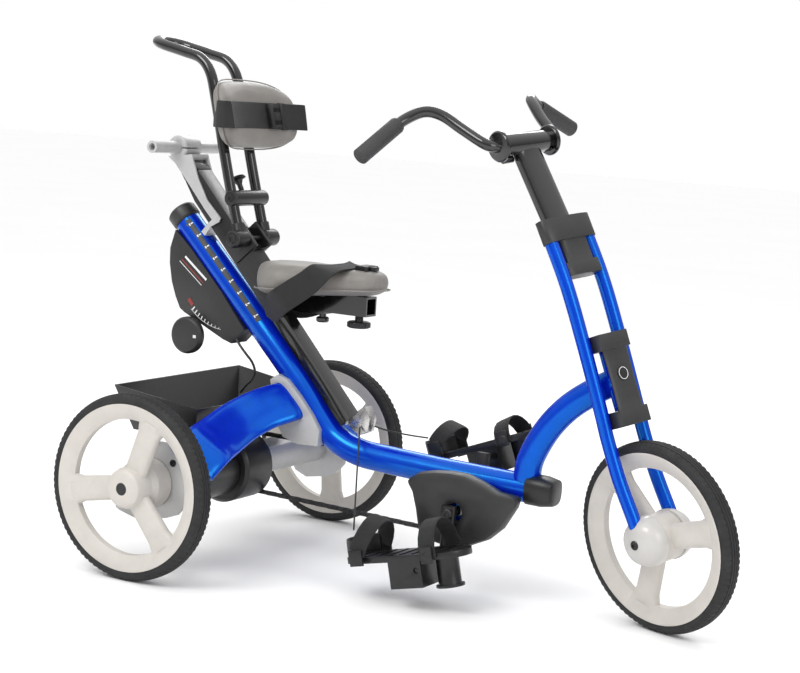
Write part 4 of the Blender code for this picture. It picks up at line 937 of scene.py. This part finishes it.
def add_drive():
    shape("chain", "dark_steel", "root", chain_links(), bevel=0.0)
    case = [(0.364, 0.184), (0.388, 0.2), (0.416, 0.206), (0.445, 0.209), (0.474, 0.208), (0.505, 0.199),
        (0.533, 0.188), (0.568, 0.185), (0.564, 0.168), (0.542, 0.13), (0.518, 0.108), (0.486, 0.093),
        (0.45, 0.086), (0.414, 0.09), (0.393, 0.105), (0.385, 0.14), (0.377, 0.166)]
    shape("chain_case", "grey_plastic", "root", prism(case, -0.054, -0.025),
        cut=[disc(0.015, -0.1, 0.1, CRANK_PIVOT, segments=20)], bevel=0.008)
    shape("crank_spindle", "silver_metal", "crank", disc(SPINDLE_R, -0.07, 0.048, CRANK_PIVOT, segments=16),
        joined=[disc(FRONT_SPROCKET_R, CHAIN_Y - 0.002, CHAIN_Y + 0.002, CRANK_PIVOT, segments=32)])
    end = TRACK_HALF + 0.019
    shape("rear_axle", "silver_metal", "drive_axle", disc(AXLE_R, -end, end, (0, 0, AXLE_Z), segments=16),
        joined=[disc(REAR_SPROCKET_R, CHAIN_Y - 0.002, CHAIN_Y + 0.002, (0, 0, AXLE_Z), segments=32)])


def add_crank_side(label, side):
    """Crank arm, pedal and footplate on one side. The right arm hangs down."""
    down = side
    pin = CRANK_PIVOT + Vector((0.0, 0.0, down * CRANK_LENGTH))
    arm_in, arm_out = (0.0562, 0.07) if side < 0 else (0.034, 0.048)
    root_y = side * (arm_in + arm_out) / 2
    arm = sweep([(CRANK_PIVOT.x, root_y, CRANK_PIVOT.z - down * 0.013),
            (CRANK_PIVOT.x, root_y, CRANK_PIVOT.z + down * 0.025),
            (pin.x, root_y + side * 0.006, pin.z + down * 0.011)],
        oval((arm_out - arm_in) / 2, 0.0125, 8, 3.0), scale=[(1.0, 1.0), (1.0, 0.85), (1.0, 0.85)])
    bore = disc(SPINDLE_R + GAP, -0.1, 0.1, CRANK_PIVOT, segments=16)
    shape(f"{label}_crank_arm", "black_plastic", "crank", arm,
        joined=[disc(PEDAL_PIN_R, arm_in + 0.01, 0.16, pin, (0, side, 0), 12)], cut=[bore])

    body = f"{label}_pedal"
    y_in, y_out = sorted((side * 0.085, side * 0.162))
    base = pin.z + 0.015
    middle = side * PEDAL_Y
    shape(f"{label}_footplate", "black_plastic", body,
        prism(foot_outline(pin.x, middle), base, base + 0.01, "Z"),
        joined=[block((pin.x - 0.05, y_in, pin.z - 0.028), (pin.x + 0.009, y_out, base + 0.001)),
            lathe([(0.0, -0.0335), (0.023, -0.0335), (0.023, -0.0295), (0.0185, -0.0295), (0.0185, 0.018),
                    (0.0, 0.018)],
                (pin.x + 0.037, middle, pin.z), (0, 0, 1), 16),
            sweep(heel_path(pin.x, middle, base + 0.024), oval(0.0026, 0.015, 8, 4.0))],
        cut=[disc(PEDAL_PIN_R + GAP, -0.3, 0.3, pin, segments=12)])
    heel_foot, heel_rise, toe_rise = STRAPS[label]
    for part, x, lean, half, foot, rise in (
            ("heel_strap", pin.x - 0.102, 0.026, 0.0425, heel_foot, heel_rise),
            ("toe_strap", pin.x + 0.028, -0.006, 0.0442, 0.002, toe_rise)):
        hoop = []
        for i in range(11):
            angle = math.pi * i / 10
            hoop.append((x + lean * math.sin(angle), middle - half * math.cos(angle),
                base + foot + rise * math.sin(angle)))
        band(f"{label}_{part}", "webbing", body, hoop, FOOT_STRAP_HALF, 0.0012, side=(1, 0, 0))


def foot_outline(x, y):
    """Sole-shaped plate: a round heel, a waist and a broad toe."""
    half = [(-0.138, 0.012), (-0.13, 0.028), (-0.11, 0.036), (-0.07, 0.0385), (0.015, 0.041), (0.05, 0.038),
        (0.07, 0.025), (0.078, 0.009)]
    right = [(x + a, y - b) for a, b in half]
    left = [(x + a, y + b) for a, b in reversed(half)]
    return right + left


def heel_path(x, y, z):
    """Low wall round the back of the heel."""
    points = []
    for i in range(9):
        angle = math.radians(95.0 + 170.0 * i / 8)
        points.append((x - 0.1 + 0.0365 * math.cos(angle), y + 0.0365 * math.sin(angle), z))
    return points


# --------------------------------------------------------------------------- seating
def add_rail_head():
    """Casting on the rail's upper end that clamps the cross tube."""
    web = [(-0.1663, 0.6763), (-0.1505, 0.6651), (-0.1159, 0.6276), (-0.0814, 0.5885), (-0.066, 0.573),
        (-0.0745, 0.5655), (-0.087, 0.5505), (-0.079, 0.544), (-0.0675, 0.561), (-0.0506, 0.5703),
        (-0.0479, 0.5774), (-0.0782, 0.6061), (-0.0996, 0.6427), (-0.1121, 0.673), (-0.115, 0.683)]
    shape("rail_head", "light_casting", "root", prism(web, -0.0245, 0.0245),
        joined=[disc(0.0205, -0.0245, 0.0245, CROSS_TUBE, segments=20, edge=0.003)],
        cut=[disc(CROSS_TUBE_R + GAP, -0.2, 0.2, CROSS_TUBE, segments=16),
            rail_box(-GAP, 0.3, RAIL_LOW - GAP, 0.1, SLEEVE_HALF + 2 * GAP), main_clearance(),
            block((CROSS_TUBE.x, -0.1, 0.6915), (-0.1, 0.1, 0.694))])
    shape("cross_tube", "light_casting", "root", disc(CROSS_TUBE_R, -0.096, 0.096, CROSS_TUBE, segments=16),
        cut=[disc(0.0062, -0.12, -0.07, CROSS_TUBE, segments=12),
            disc(0.0062, 0.07, 0.12, CROSS_TUBE, segments=12)])


def add_carriage():
    """Sleeve on the rail with the seat beam, the seat and the hip belt."""
    shell = rail_prism([(0.0215, -0.0155), (0.06, RAIL_LOW), (0.315, RAIL_LOW), (0.315, SLEEVE_HIGH),
            (0.0215, SLEEVE_HIGH)],
        SLEEVE_HALF)
    shape("seat_carriage", "black_plastic", "seat", shell,
        joined=[rail_box(0.15, 0.2, -0.016, 0.036, CHEEK_HALF)],
        cut=[rail_box(-0.1, 0.6, -0.05, RAIL_HIGH + GAP, RAIL_HALF + GAP),
            rail_box(0.0, 0.4, SLEEVE_HIGH + 0.0001, 0.1, RAIL_HALF),
            disc(RECLINE_PIN_R + GAP, -0.1, 0.1, RECLINE_PIVOT, segments=12)])
    beam = [(0.05, 0.44), (0.12, 0.431), (0.169, 0.433), (0.169, 0.463), (0.05, 0.455)]
    receiver = block((0.168, -0.0165, 0.4365), (0.25, 0.0165, 0.4695))
    screw = Vector((0.156, 0.0, 0.4325))
    shape("seat_beam", "black_tube", "seat", prism(beam, -0.016, 0.016),
        joined=[receiver, disc(0.011, -0.015, -0.006, screw, (0, 0, 1), 14, 0.002),
            disc(0.006, -0.0065, 0.002, screw, (0, 0, 1), 12)],
        cut=[rail_box(0.0, 0.6, -0.1, SLEEVE_HIGH + GAP, 0.1),
            block((0.185, -0.013, 0.44), (0.3, 0.013, 0.466))])
    shape("receiver_knob", "black_plastic", "receiver_knob",
        disc(0.019, -0.021, -0.01, RECEIVER_KNOB, (0, 0, 1), 20, 0.002),
        joined=[disc(0.007, -0.0105, -GAP, RECEIVER_KNOB, (0, 0, 1), 12)])
    half_belt = [((0.054, -0.03, 0.438), (0.55, 0.0, -0.83)), ((0.085, -0.053, 0.435), (0.6, 0.0, -0.8)),
        ((0.12, -0.083, 0.453), (0.7, 0.0, -0.71)), ((0.145, -0.084, 0.47), (0.74, 0.0, -0.67)),
        ((0.17, -0.0775, 0.489), (0.86, 0.0, -0.51)), ((0.185, -0.066, 0.507), (0.95, 0.0, -0.3)),
        ((0.194, -0.047, 0.515), (0.98, 0.0, -0.1)), ((0.199, -0.019, 0.5165), (1.0, 0.0, -0.05))]
    belt = half_belt + [(mirror_y(p), w) for p, w in reversed(half_belt)]
    path = smooth_path([p for p, w in belt], 2)
    widths = smooth_path([w for p, w in belt], 2)
    band("hip_belt", "webbing", "seat", path, BELT_HALF, WEB_HALF, side=widths)


def seat_half_width(t):
    """Saddle half width from its rounded back, t = 0, to its nose, t = 1."""
    back = 0.076 * math.sqrt(max(0.0, 1.0 - (1.0 - min(t / 0.28, 1.0)) ** 2))
    taper = 0.076 - 0.036 * min(max((t - 0.28) / 0.55, 0.0), 1.0)
    nose = math.sqrt(max(0.0, 1.0 - max(0.0, (t - 0.86) / 0.14) ** 2))
    return min(back, taper) * nose


def upright_path(side):
    points = [(0.0, 0.56), (-0.008, 0.587), (-0.026, 0.65), (-0.044, 0.717), (-0.061, 0.783),
        (-0.074, 0.824), (-0.095, 0.848), (-0.13, 0.858), (-0.17, 0.867)]
    return side_path(points, 2, side * UPRIGHT_HALF)


def upright_clearances():
    return [tube(upright_path(side), UPRIGHT_R + GAP, 10, reach=GAP) for side in (-1, 1)]


def add_backrest():
    half = UPRIGHT_HALF
    right = upright_path(-1)
    loop = []
    for i in range(1, 10):
        angle = math.pi * i / 10
        loop.append((-0.17 - half * math.sin(angle), -half * math.cos(angle),
            0.867 + 0.009 * math.sin(angle)))
    left = list(reversed(upright_path(1)))
    shape("push_bar", "black_tube", "backrest", tube(right + loop + left, UPRIGHT_R, 10))
    sockets = [tube([(0.004, side * half, 0.55), (-0.0025, side * half, 0.572)], 0.011, 10)
        for side in (-1, 1)]
    shape("recline_pivot", "black_plastic", "backrest",
        disc(0.015, 0.0268, 0.064, RECLINE_PIVOT, (0, 1, 0), 18, 0.003),
        joined=[disc(0.015, 0.0268, 0.064, RECLINE_PIVOT, (0, -1, 0), 18, 0.003),
            disc(RECLINE_PIN_R, -0.028, 0.028, RECLINE_PIVOT, (0, 1, 0), 12)] + sockets,
        cut=upright_clearances())
    shape("backrest_clamp", "black_plastic", "backrest",
        disc(0.0135, -0.05, 0.05, CLAMP_MIDDLE, segments=18, edge=0.002), cut=upright_clearances())
    shape("clamp_knob", "black_plastic", "clamp_knob", lathe([(0.0, 0.014), (0.0045, 0.014),
                (0.0045, 0.025), (0.0085, 0.033), (0.015, 0.035), (0.012, 0.0395), (0.0, 0.041)],
            CLAMP_MIDDLE + Vector((0, CLAMP_KNOB_Y, 0)), CLAMP_KNOB_AXIS, 14))

    shape("pad_bracket", "black_plastic", "back_pad",
        leaned(block((-0.074, -0.024, 0.73), (-0.047, 0.024, 0.78))))
    lean = lean_matrix()
    band("chest_strap", "webbing", "back_pad", [lean @ Vector(p) for p in strap_loop()], CHEST_HALF,
        WEB_HALF, side=(-PAD_LEAN, 0.0, 1.0), closed=True)


def pad_stations():
    return [-PAD_HALF + 2 * PAD_HALF * i / 12 for i in range(13)]


def pad_x(y):
    """The pad curves forwards round the rider's sides."""
    return PAD_FRONT + PAD_CURVE * (y / PAD_HALF) ** 2


def lean_matrix():
    """Shears a piece back with the uprights, about the pad's middle."""
    matrix = Matrix.Identity(4)
    matrix[0][2] = -PAD_LEAN
    matrix[0][3] = PAD_LEAN * PAD_LEVEL
    return matrix


def leaned(mesh):
    return placed(mesh, lean_matrix())


def strap_loop():
    """Closed loop round the pad, close to its front and its back."""
    front = [(pad_x(y) + 0.0034, y, PAD_LEVEL) for y in pad_stations()]
    edge = pad_x(PAD_HALF)
    side = [(edge - 0.008, PAD_HALF + 0.004, PAD_LEVEL), (edge - 0.026, PAD_HALF + 0.002, PAD_LEVEL)]
    back = [(pad_x(y) - PAD_DEPTH - 0.003, y, PAD_LEVEL) for y in pad_stations()[1:-1]]
    return front + side + list(reversed(back)) + [mirror_y(p) for p in reversed(side)]


# -------------------------------------------------------------------------- steering
def leg_path(side):
    points = [(0.5887, 0.6164), (0.633, 0.533), (0.67, 0.442), (0.704, 0.3495), (0.721, 0.3), (0.746, 0.24),
        (0.776, 0.184), (0.785, 0.164)]
    return side_path(points, 2, side * LEG_HALF)


def dome_solid(side, grow):
    outer = [(0.0, 0.056), (0.01, 0.0555), (0.023, 0.052), (0.033, 0.045), (0.0385, 0.035), (0.04, 0.0245),
        (0.04, 0.0222), (0.0, 0.0222)]
    profile = [(r + (grow if r > 0.0 else 0.0), h + (grow if h > 0.03 else -grow)) for r, h in outer]
    return lathe(profile, HUB, (0.0, side, 0.0), 24)


def steer_box(low, high, ahead0, ahead1, half):
    """A block between two heights on the steering axis."""
    corners = [steer_point(low, ahead0), steer_point(low, ahead1), steer_point(high, ahead1),
        steer_point(high, ahead0)]
    return prism([(p.x, p.z) for p in corners], -half, half)


def leg_clearances():
    return [tube(leg_path(side), LEG_R + GAP, 12, reach=GAP) for side in (-1, 1)]


def add_steering():
    for label, side in SIDES:
        shape(f"{label}_fork_leg", "blue_paint", "steering", tube(leg_path(side), LEG_R, 12),
            cut=[dome_solid(side, GAP)])
        shape(f"{label}_hub_dome", "light_plastic", "steering", dome_solid(side, 0.0),
            joined=[disc(FRONT_AXLE_R, GAP, 0.03, HUB, (0, side, 0), 12)])
    waist = [(HEAD_LOW - 0.001, 0.027), (HEAD_LOW + 0.02, 0.0262), (HEAD_LOW + 0.0475, 0.0256),
        (HEAD_HIGH - 0.02, 0.0262), (HEAD_HIGH + 0.001, 0.027)]
    rings = []
    for height, width in waist:
        ring = []
        for ahead, y in ((HEAD_R + 0.001, -width), (0.017, -width), (0.019, -width * 0.8), (0.02, 0.0),
                (0.019, width * 0.8), (0.017, width), (HEAD_R + 0.001, width)):
            ring.append(tuple(steer_point(height, ahead, y)))
        rings.append(ring)
    shape("fork_crown", "grey_plastic", "steering",
        steer_box(HEAD_HIGH + GAP, HEAD_HIGH + 0.026, LEG_AHEAD - 0.016, 0.022, 0.031),
        joined=[steer_box(HEAD_LOW - 0.026, HEAD_LOW - GAP, LEG_AHEAD - 0.016, 0.022, 0.031),
            skin(rings, closed=False), head_tube_solid(SHAFT_R, 0.015, 12)],
        cut=leg_clearances())

    forwards = steer_point(0.0, 1.0) - steer_point(0.0)
    badge = steer_point(HEAD_LOW + 0.055, 0.0199)
    trim("head_badge", "black_plastic", "steering", disc(0.0115, 0.0, 0.0012, badge, forwards, edge=0.0005),
        bevel=0.0003)
    trim("head_badge_ring", "white_ink", "steering",
        lathe([(0.0088, 0.0012), (0.0098, 0.0012), (0.0098, 0.0015), (0.0088, 0.0015)], badge, forwards))

    leg_top = leg_path(-1)[0]
    run = (leg_path(-1)[1] - leg_top).normalized()
    run.y = 0.0
    top = Vector((leg_top.x, 0.0, leg_top.z)) - run * 0.014
    shape("stem_clamp", "grey_plastic", "steering",
        sweep([top, top + run * 0.038], oval(0.0535, 0.016, 20, 3.0)),
        joined=[sweep([top + run * 0.03, top + run * 0.077], oval(0.029, 0.0135, 14, 4.0)),
            sweep([top + run * 0.075, top + run * 0.097], oval(0.038, 0.015, 14, 4.0))],
        cut=leg_clearances() + [sweep(stem_path(), oval(STEM_HALF + GAP, STEM_DEPTH + GAP, 14, 2.6),
            reach=GAP)])
    shape("stem", "black_tube", "steering", sweep(stem_path(), oval(STEM_HALF, STEM_DEPTH, 14, 2.6)),
        joined=[disc(0.0178, -0.051, 0.051, BAR_PIVOT, segments=20),
            disc(0.0055, -0.05, -0.03, BAR_PIVOT + Vector((0.002, 0, -0.0225)), segments=10)],
        cut=[disc(BAR_R + 0.0006, -0.1, 0.1, BAR_PIVOT, segments=16)])


def stem_path():
    return [(0.584, 0.0, 0.603), (0.5705, 0.0, 0.623), (0.515, 0.0, 0.71), (0.5, 0.0, 0.733)]


def bar_points():
    """The bar's middle line from its middle to its left end."""
    return [(0.5001, 0.0, 0.7409), (0.5001, 0.06, 0.7409), (0.49, 0.076, 0.746), (0.4511, 0.088, 0.7672),
        (0.418, 0.101, 0.788), (0.396, 0.118, 0.7945), (0.38, 0.142, 0.785), (0.374, 0.17, 0.769),
        (0.3735, 0.233, 0.7343)]


def add_handlebar():
    half = bar_points()
    outer = smooth_path(half[1:], 2)
    inner = [mirror_y(p) for p in reversed(outer)]
    full = inner + [Vector(half[0])] + outer
    flanges = [disc(0.025, 0.0513, 0.059, BAR_PIVOT, (0, side, 0), 20, 0.0025) for side in (-1, 1)]
    shape("handlebar", "black_tube", "handlebar", tube(full, BAR_R, 10, side=(1, 0, 0)), joined=flanges)
    for label, side in SIDES:
        end = Vector((half[-1][0], side * half[-1][1], half[-1][2]))
        back = Vector((half[-2][0], side * half[-2][1], half[-2][2]))
        run = (end - back).normalized()
        start = end - run * 0.088
        shape(f"{label}_grip", "grip_rubber", "handlebar", sweep(
                [start, start + run * 0.004, end + run * 0.0035, end + run * 0.0055],
                oval(GRIP_R, GRIP_R, 14), side=(1, 0, 0),
                scale=[(0.88, 0.88), (1.0, 1.0), (1.0, 1.0), (0.85, 0.85)]),
            cut=[tube(full, BAR_R + GAP, 10, side=(1, 0, 0), reach=GAP)])


# ----------------------------------------------------------------- pulley, pads, clasps
def add_pulley():
    """Block on the rail's lower end that turns the pedal levelling cords."""
    block_outline = [(0.24, 0.29), (0.256, 0.288), (0.267, 0.266), (0.264, 0.244), (0.25, 0.237),
        (0.24, 0.24), (0.225, 0.25), (0.225, 0.272)]
    shape("pulley_block", "silver_metal", "root", prism(block_outline, -0.011, 0.011),
        cut=[rail_box(0.0, RAIL_LENGTH + GAP, -0.1, 0.1, 0.1), main_clearance()])


def pad_outline(scale):
    """The back pad's rounded outline seen from the front: (y, height) points."""
    points = []
    for i in range(48):
        angle = 2 * math.pi * (i + 0.5) / 48
        c, s = math.cos(angle), math.sin(angle)
        points.append((PAD_HALF * scale * math.copysign(abs(c) ** 0.62, c),
            0.059 * scale * math.copysign(abs(s) ** 0.62, s)))
    return points


def add_back_pad():
    """Curved pad: a crowned front, rounded sides and a flat back with a sewn edge."""
    rings = []
    for depth, scale in ((0.0, 0.04), (0.0, 0.22), (0.0, 0.42), (-0.0001, 0.62), (-0.0006, 0.8),
            (-0.0024, 0.9), (-0.0075, 0.965), (-0.018, 0.985), (-0.029, 0.96), (-0.0325, 0.9),
            (-0.033, 0.66), (-0.033, 0.4), (-0.033, 0.12)):
        rings.append([(pad_x(y) + depth, y, PAD_LEVEL + z) for y, z in pad_outline(scale)])
    made = add("back_pad_look", "pad_foam", "back_pad", leaned(skin(rings, closed=False)), bevel=0.0,
        stands_for=["back_pad"])
    swell(made, 0.0022)
    finish_pad(made)
    seam = [(pad_x(y) - 0.0225, y, PAD_LEVEL + z) for y, z in pad_outline(0.995)]
    mesh = tube(seam, SEAM_R, 3, side=(1.0, 0.0, 0.0), closed=True)
    trim("back_pad_seam", "pad_foam", "back_pad", leaned(mesh))


def finish_pad(made):
    made.data.materials.clear()
    made.data.materials.append(MATERIALS["pad_foam"])


def add_seat_pad():
    """Saddle with a crowned top and a seam above its under side."""
    steps = [0.004, 0.03, 0.08, 0.14, 0.2, 0.28, 0.36, 0.45, 0.54, 0.62, 0.71, 0.8, 0.87, 0.93, 0.97, 0.996]
    right = [(t, -seat_half_width(t)) for t in steps]
    outline = right + [(t, -y) for t, y in reversed(right)]
    rings = []
    for level, inset in ((0.03, 0.88), (0.1, 0.94), (0.3, 0.985), (0.55, 0.99), (0.78, 0.95), (0.92, 0.86),
            (0.985, 0.7), (1.0, 0.45)):
        ring = []
        for t, y in outline:
            t_in = 0.5 + (t - 0.5) * (1.0 - (1.0 - inset) * 0.45)
            under = SEAT_UNDER + SEAT_RISE * t_in
            ring.append((SEAT_START + SEAT_LENGTH * t_in, y * inset, under + level * (SEAT_TOP - under)))
        rings.append(ring)
    slot = rail_box(0.0, 0.6, -0.1, SLEEVE_HIGH + 2 * GAP, SLEEVE_HALF + 0.002)
    made = add("seat_pad_look", "pad_foam", "seat", skin(rings, closed=False), bevel=0.0,
        cut=[slot, block((0.158, -0.019, 0.43), (0.252, 0.019, 0.4712))], stands_for=["seat_pad"])
    swell(made, 0.003)
    finish_pad(made)
    seam = []
    for t, y in outline:
        if t > 0.1 or abs(y) > 0.03:
            under = SEAT_UNDER + SEAT_RISE * t
            seam.append((SEAT_START + SEAT_LENGTH * (0.5 + (t - 0.5) * 1.005), y,
                under + 0.2 * (SEAT_TOP - under)))
    mesh = tube(seam, SEAM_R, 3, side=(0.0, 0.0, 1.0))
    trim("seat_seam", "pad_foam", "seat", mesh)


def add_buckles():
    """Side-release clasps: a body with a slot, two side arms and the web's slider."""
    z = 0.5168
    shape("hip_belt_buckle", "black_plastic", "seat",
        block((0.225, -0.0175, z - 0.0044), (0.244, 0.0175, z + 0.0044)),
        joined=[block((0.243, -0.0185, z - 0.004), (0.248, -0.0095, z + 0.004)),
            block((0.243, 0.0095, z - 0.004), (0.248, 0.0185, z + 0.004)),
            block((0.243, -0.006, z - 0.0034), (0.2575, 0.006, z + 0.0034))],
        bevel=0.0012)
    x = pad_x(0.05) + 0.0025
    level = PAD_LEVEL - 0.755
    parts = [block((x, 0.062, 0.732 + level), (x + 0.0085, 0.077, 0.778 + level)),
        block((x + 0.001, 0.03, 0.7345 + level), (x + 0.008, 0.04, 0.7755 + level)),
        block((x + 0.002, 0.039, 0.748 + level), (x + 0.007, 0.063, 0.762 + level))]
    for low in (0.7335, 0.769):
        parts.append(block((x + 0.0015, 0.039, low + level), (x + 0.0075, 0.063, low + 0.0075 + level)))
    first, others = leaned(parts[0]), [leaned(p) for p in parts[1:]]
    shape("chest_buckle", "black_plastic", "back_pad", first, joined=others, bevel=0.001)


def pedal_details():
    """Sole ribs, ratchets and strap clamps of the footplates."""
    for label, side in SIDES:
        pin = CRANK_PIVOT + Vector((0.0, 0.0, side * CRANK_LENGTH))
        middle = side * PEDAL_Y
        top = pin.z + 0.025
        body = f"{label}_pedal"
        for i in range(9):
            x = pin.x - 0.118 + 0.0215 * i
            reach = 0.03 if 0 < i < 8 else 0.024
            trim(f"{label}_sole_rib_{i}", "black_plastic", body,
                block((x, middle - reach, top - 0.0005), (x + 0.006, middle + reach, top + 0.0016)),
                bevel=0.0005)
        heel_foot = STRAPS[label][0]
        for k, y in enumerate((middle - 0.0445, middle + 0.0445)):
            outward = -0.003 if y < middle else 0.003
            trim(f"{label}_toe_clamp_{k}", "black_plastic", body,
                disc(0.0085, -0.003, 0.003, (pin.x + 0.028, y + outward, top - 0.004), (0, 1, 0), 8, 0.001),
                joined=[block((pin.x + 0.018, y + outward - 0.002, top - 0.014),
                    (pin.x + 0.038, y + outward + 0.002, top + 0.012))],
                bevel=0.0005)
            trim(f"{label}_heel_clamp_{k}", "black_plastic", body,
                block((pin.x - 0.114, y + outward * 0.6 - 0.0022, top - 0.012),
                    (pin.x - 0.09, y + outward * 0.6 + 0.0022, top + heel_foot - 0.006)),
                bevel=0.0008)


def knob_ribs():
    """Grip ribs round the receiver knob."""
    for i in range(20):
        angle = 2 * math.pi * i / 20
        x = RECEIVER_KNOB.x + 0.0186 * math.cos(angle)
        y = 0.0186 * math.sin(angle)
        trim(f"receiver_rib_{i}", "black_plastic", "receiver_knob",
            disc(0.0014, -0.0195, -0.0115, (x, y, RECEIVER_KNOB.z), (0, 0, 1), 3))


def make_camera():
    camera = bpy.data.objects.new("Camera", bpy.data.cameras.new("Camera"))
    bpy.context.scene.collection.objects.link(camera)
    camera.data.sensor_width = 36.0
    camera.data.lens = CAMERA_LENS
    eye = TO_FRAME @ CAMERA_EYE
    target = TO_FRAME @ CAMERA_TARGET
    ahead = (target - eye).normalized()
    right = ahead.cross(Vector((0.0, 0.0, 1.0))).normalized()
    up = right.cross(ahead)
    right, up = (right * math.cos(CAMERA_ROLL) + up * math.sin(CAMERA_ROLL),
        up * math.cos(CAMERA_ROLL) - right * math.sin(CAMERA_ROLL))
    matrix = Matrix.Identity(4)
    for i in range(3):
        matrix[i][0], matrix[i][1], matrix[i][2], matrix[i][3] = right[i], up[i], -ahead[i], eye[i]
    camera.matrix_world = matrix
    bpy.context.scene.camera = camera


def add_light(name, place, aim, size, power):
    lamp = bpy.data.lights.new(name, "AREA")
    lamp.shape = "RECTANGLE"
    lamp.size, lamp.size_y = size
    lamp.energy = power
    made = bpy.data.objects.new(name, lamp)
    bpy.context.scene.collection.objects.link(made)
    made.location = place
    made.rotation_euler = (Vector(aim) - Vector(place)).to_track_quat("-Z", "Y").to_euler()


def make_studio():
    scene = bpy.context.scene
    world = bpy.data.worlds.new("Studio")
    scene.world = world
    world.use_nodes = True
    tree = world.node_tree
    background = tree.nodes["Background"]
    split = node(tree, "SeparateXYZ")
    tree.links.new(node(tree, "TexCoord").outputs["Generated"], split.inputs["Vector"])
    sky = node(tree, "ValToRGB")
    for element, (place, level) in zip(sky.color_ramp.elements, ((0.0, 0.3), (0.9, 1.3))):
        element.position = place
        element.color = (level, level, level, 1.0)
    tree.links.new(split.outputs["Z"], sky.inputs["Fac"])
    seen = node(tree, "Mix", data_type="RGBA")
    seen.inputs[7].default_value = (1.0, 1.0, 1.0, 1.0)
    tree.links.new(node(tree, "LightPath").outputs["Is Camera Ray"], seen.inputs[0])
    tree.links.new(sky.outputs["Color"], seen.inputs[6])
    tree.links.new(seen.outputs[2], background.inputs["Color"])
    scene.view_settings.view_transform = "Standard"
    mesh = bmesh.new()
    for x, y in ((-20, -20), (20, -20), (20, 20), (-20, 20)):
        mesh.verts.new((x, y, 0.0))
    mesh.faces.new(mesh.verts)
    data = bpy.data.meshes.new("Floor")
    mesh.to_mesh(data)
    mesh.free()
    floor = bpy.data.objects.new("Floor", data)
    scene.collection.objects.link(floor)
    data.materials.append(surface("floor_paper", (0.97, 0.97, 0.97), 0.75, tone=0.01, tone_scale=1.2,
        grain_scale=60.0, grain_depth=0.02))
    add_light("Key", (-0.6, -2.4, 2.6), (0.0, 0.0, 0.35), (1.6, 1.2), 42.0)
    add_light("Fill", (2.6, -1.2, 1.6), (0.0, 0.0, 0.35), (1.2, 1.6), 18.0)
    add_light("Back", (-1.2, 2.4, 2.2), (0.0, 0.0, 0.4), (1.6, 1.0), 24.0)


def build():
    add_frame()
    add_rear_frame()
    add_basket()
    add_cords()
    add_brake_housing()
    add_brake_details()
    add_drive()
    add_crank_side("right", -1)
    add_crank_side("left", 1)
    pedal_details()
    add_rear_wheel("rear_right", -1, "drive_axle", math.radians(70.0))
    add_rear_wheel("rear_left", 1, "left_wheel", math.radians(35.0))
    front_hub = [(0.0, -0.0219), (0.0365, -0.0219), (0.0385, -0.019), (0.0385, 0.019), (0.0365, 0.0219),
        (0.0, 0.0219)]
    add_wheel("front", HUB, "front_wheel", front_hub, math.radians(17.0), 0.0055)
    add_rail_head()
    add_carriage()
    add_backrest()
    add_back_pad()
    add_seat_pad()
    add_buckles()
    add_steering()
    add_handlebar()
    add_pulley()
    add_scale()
    add_fittings()
    knob_ribs()


build()
make_camera()
make_studio()
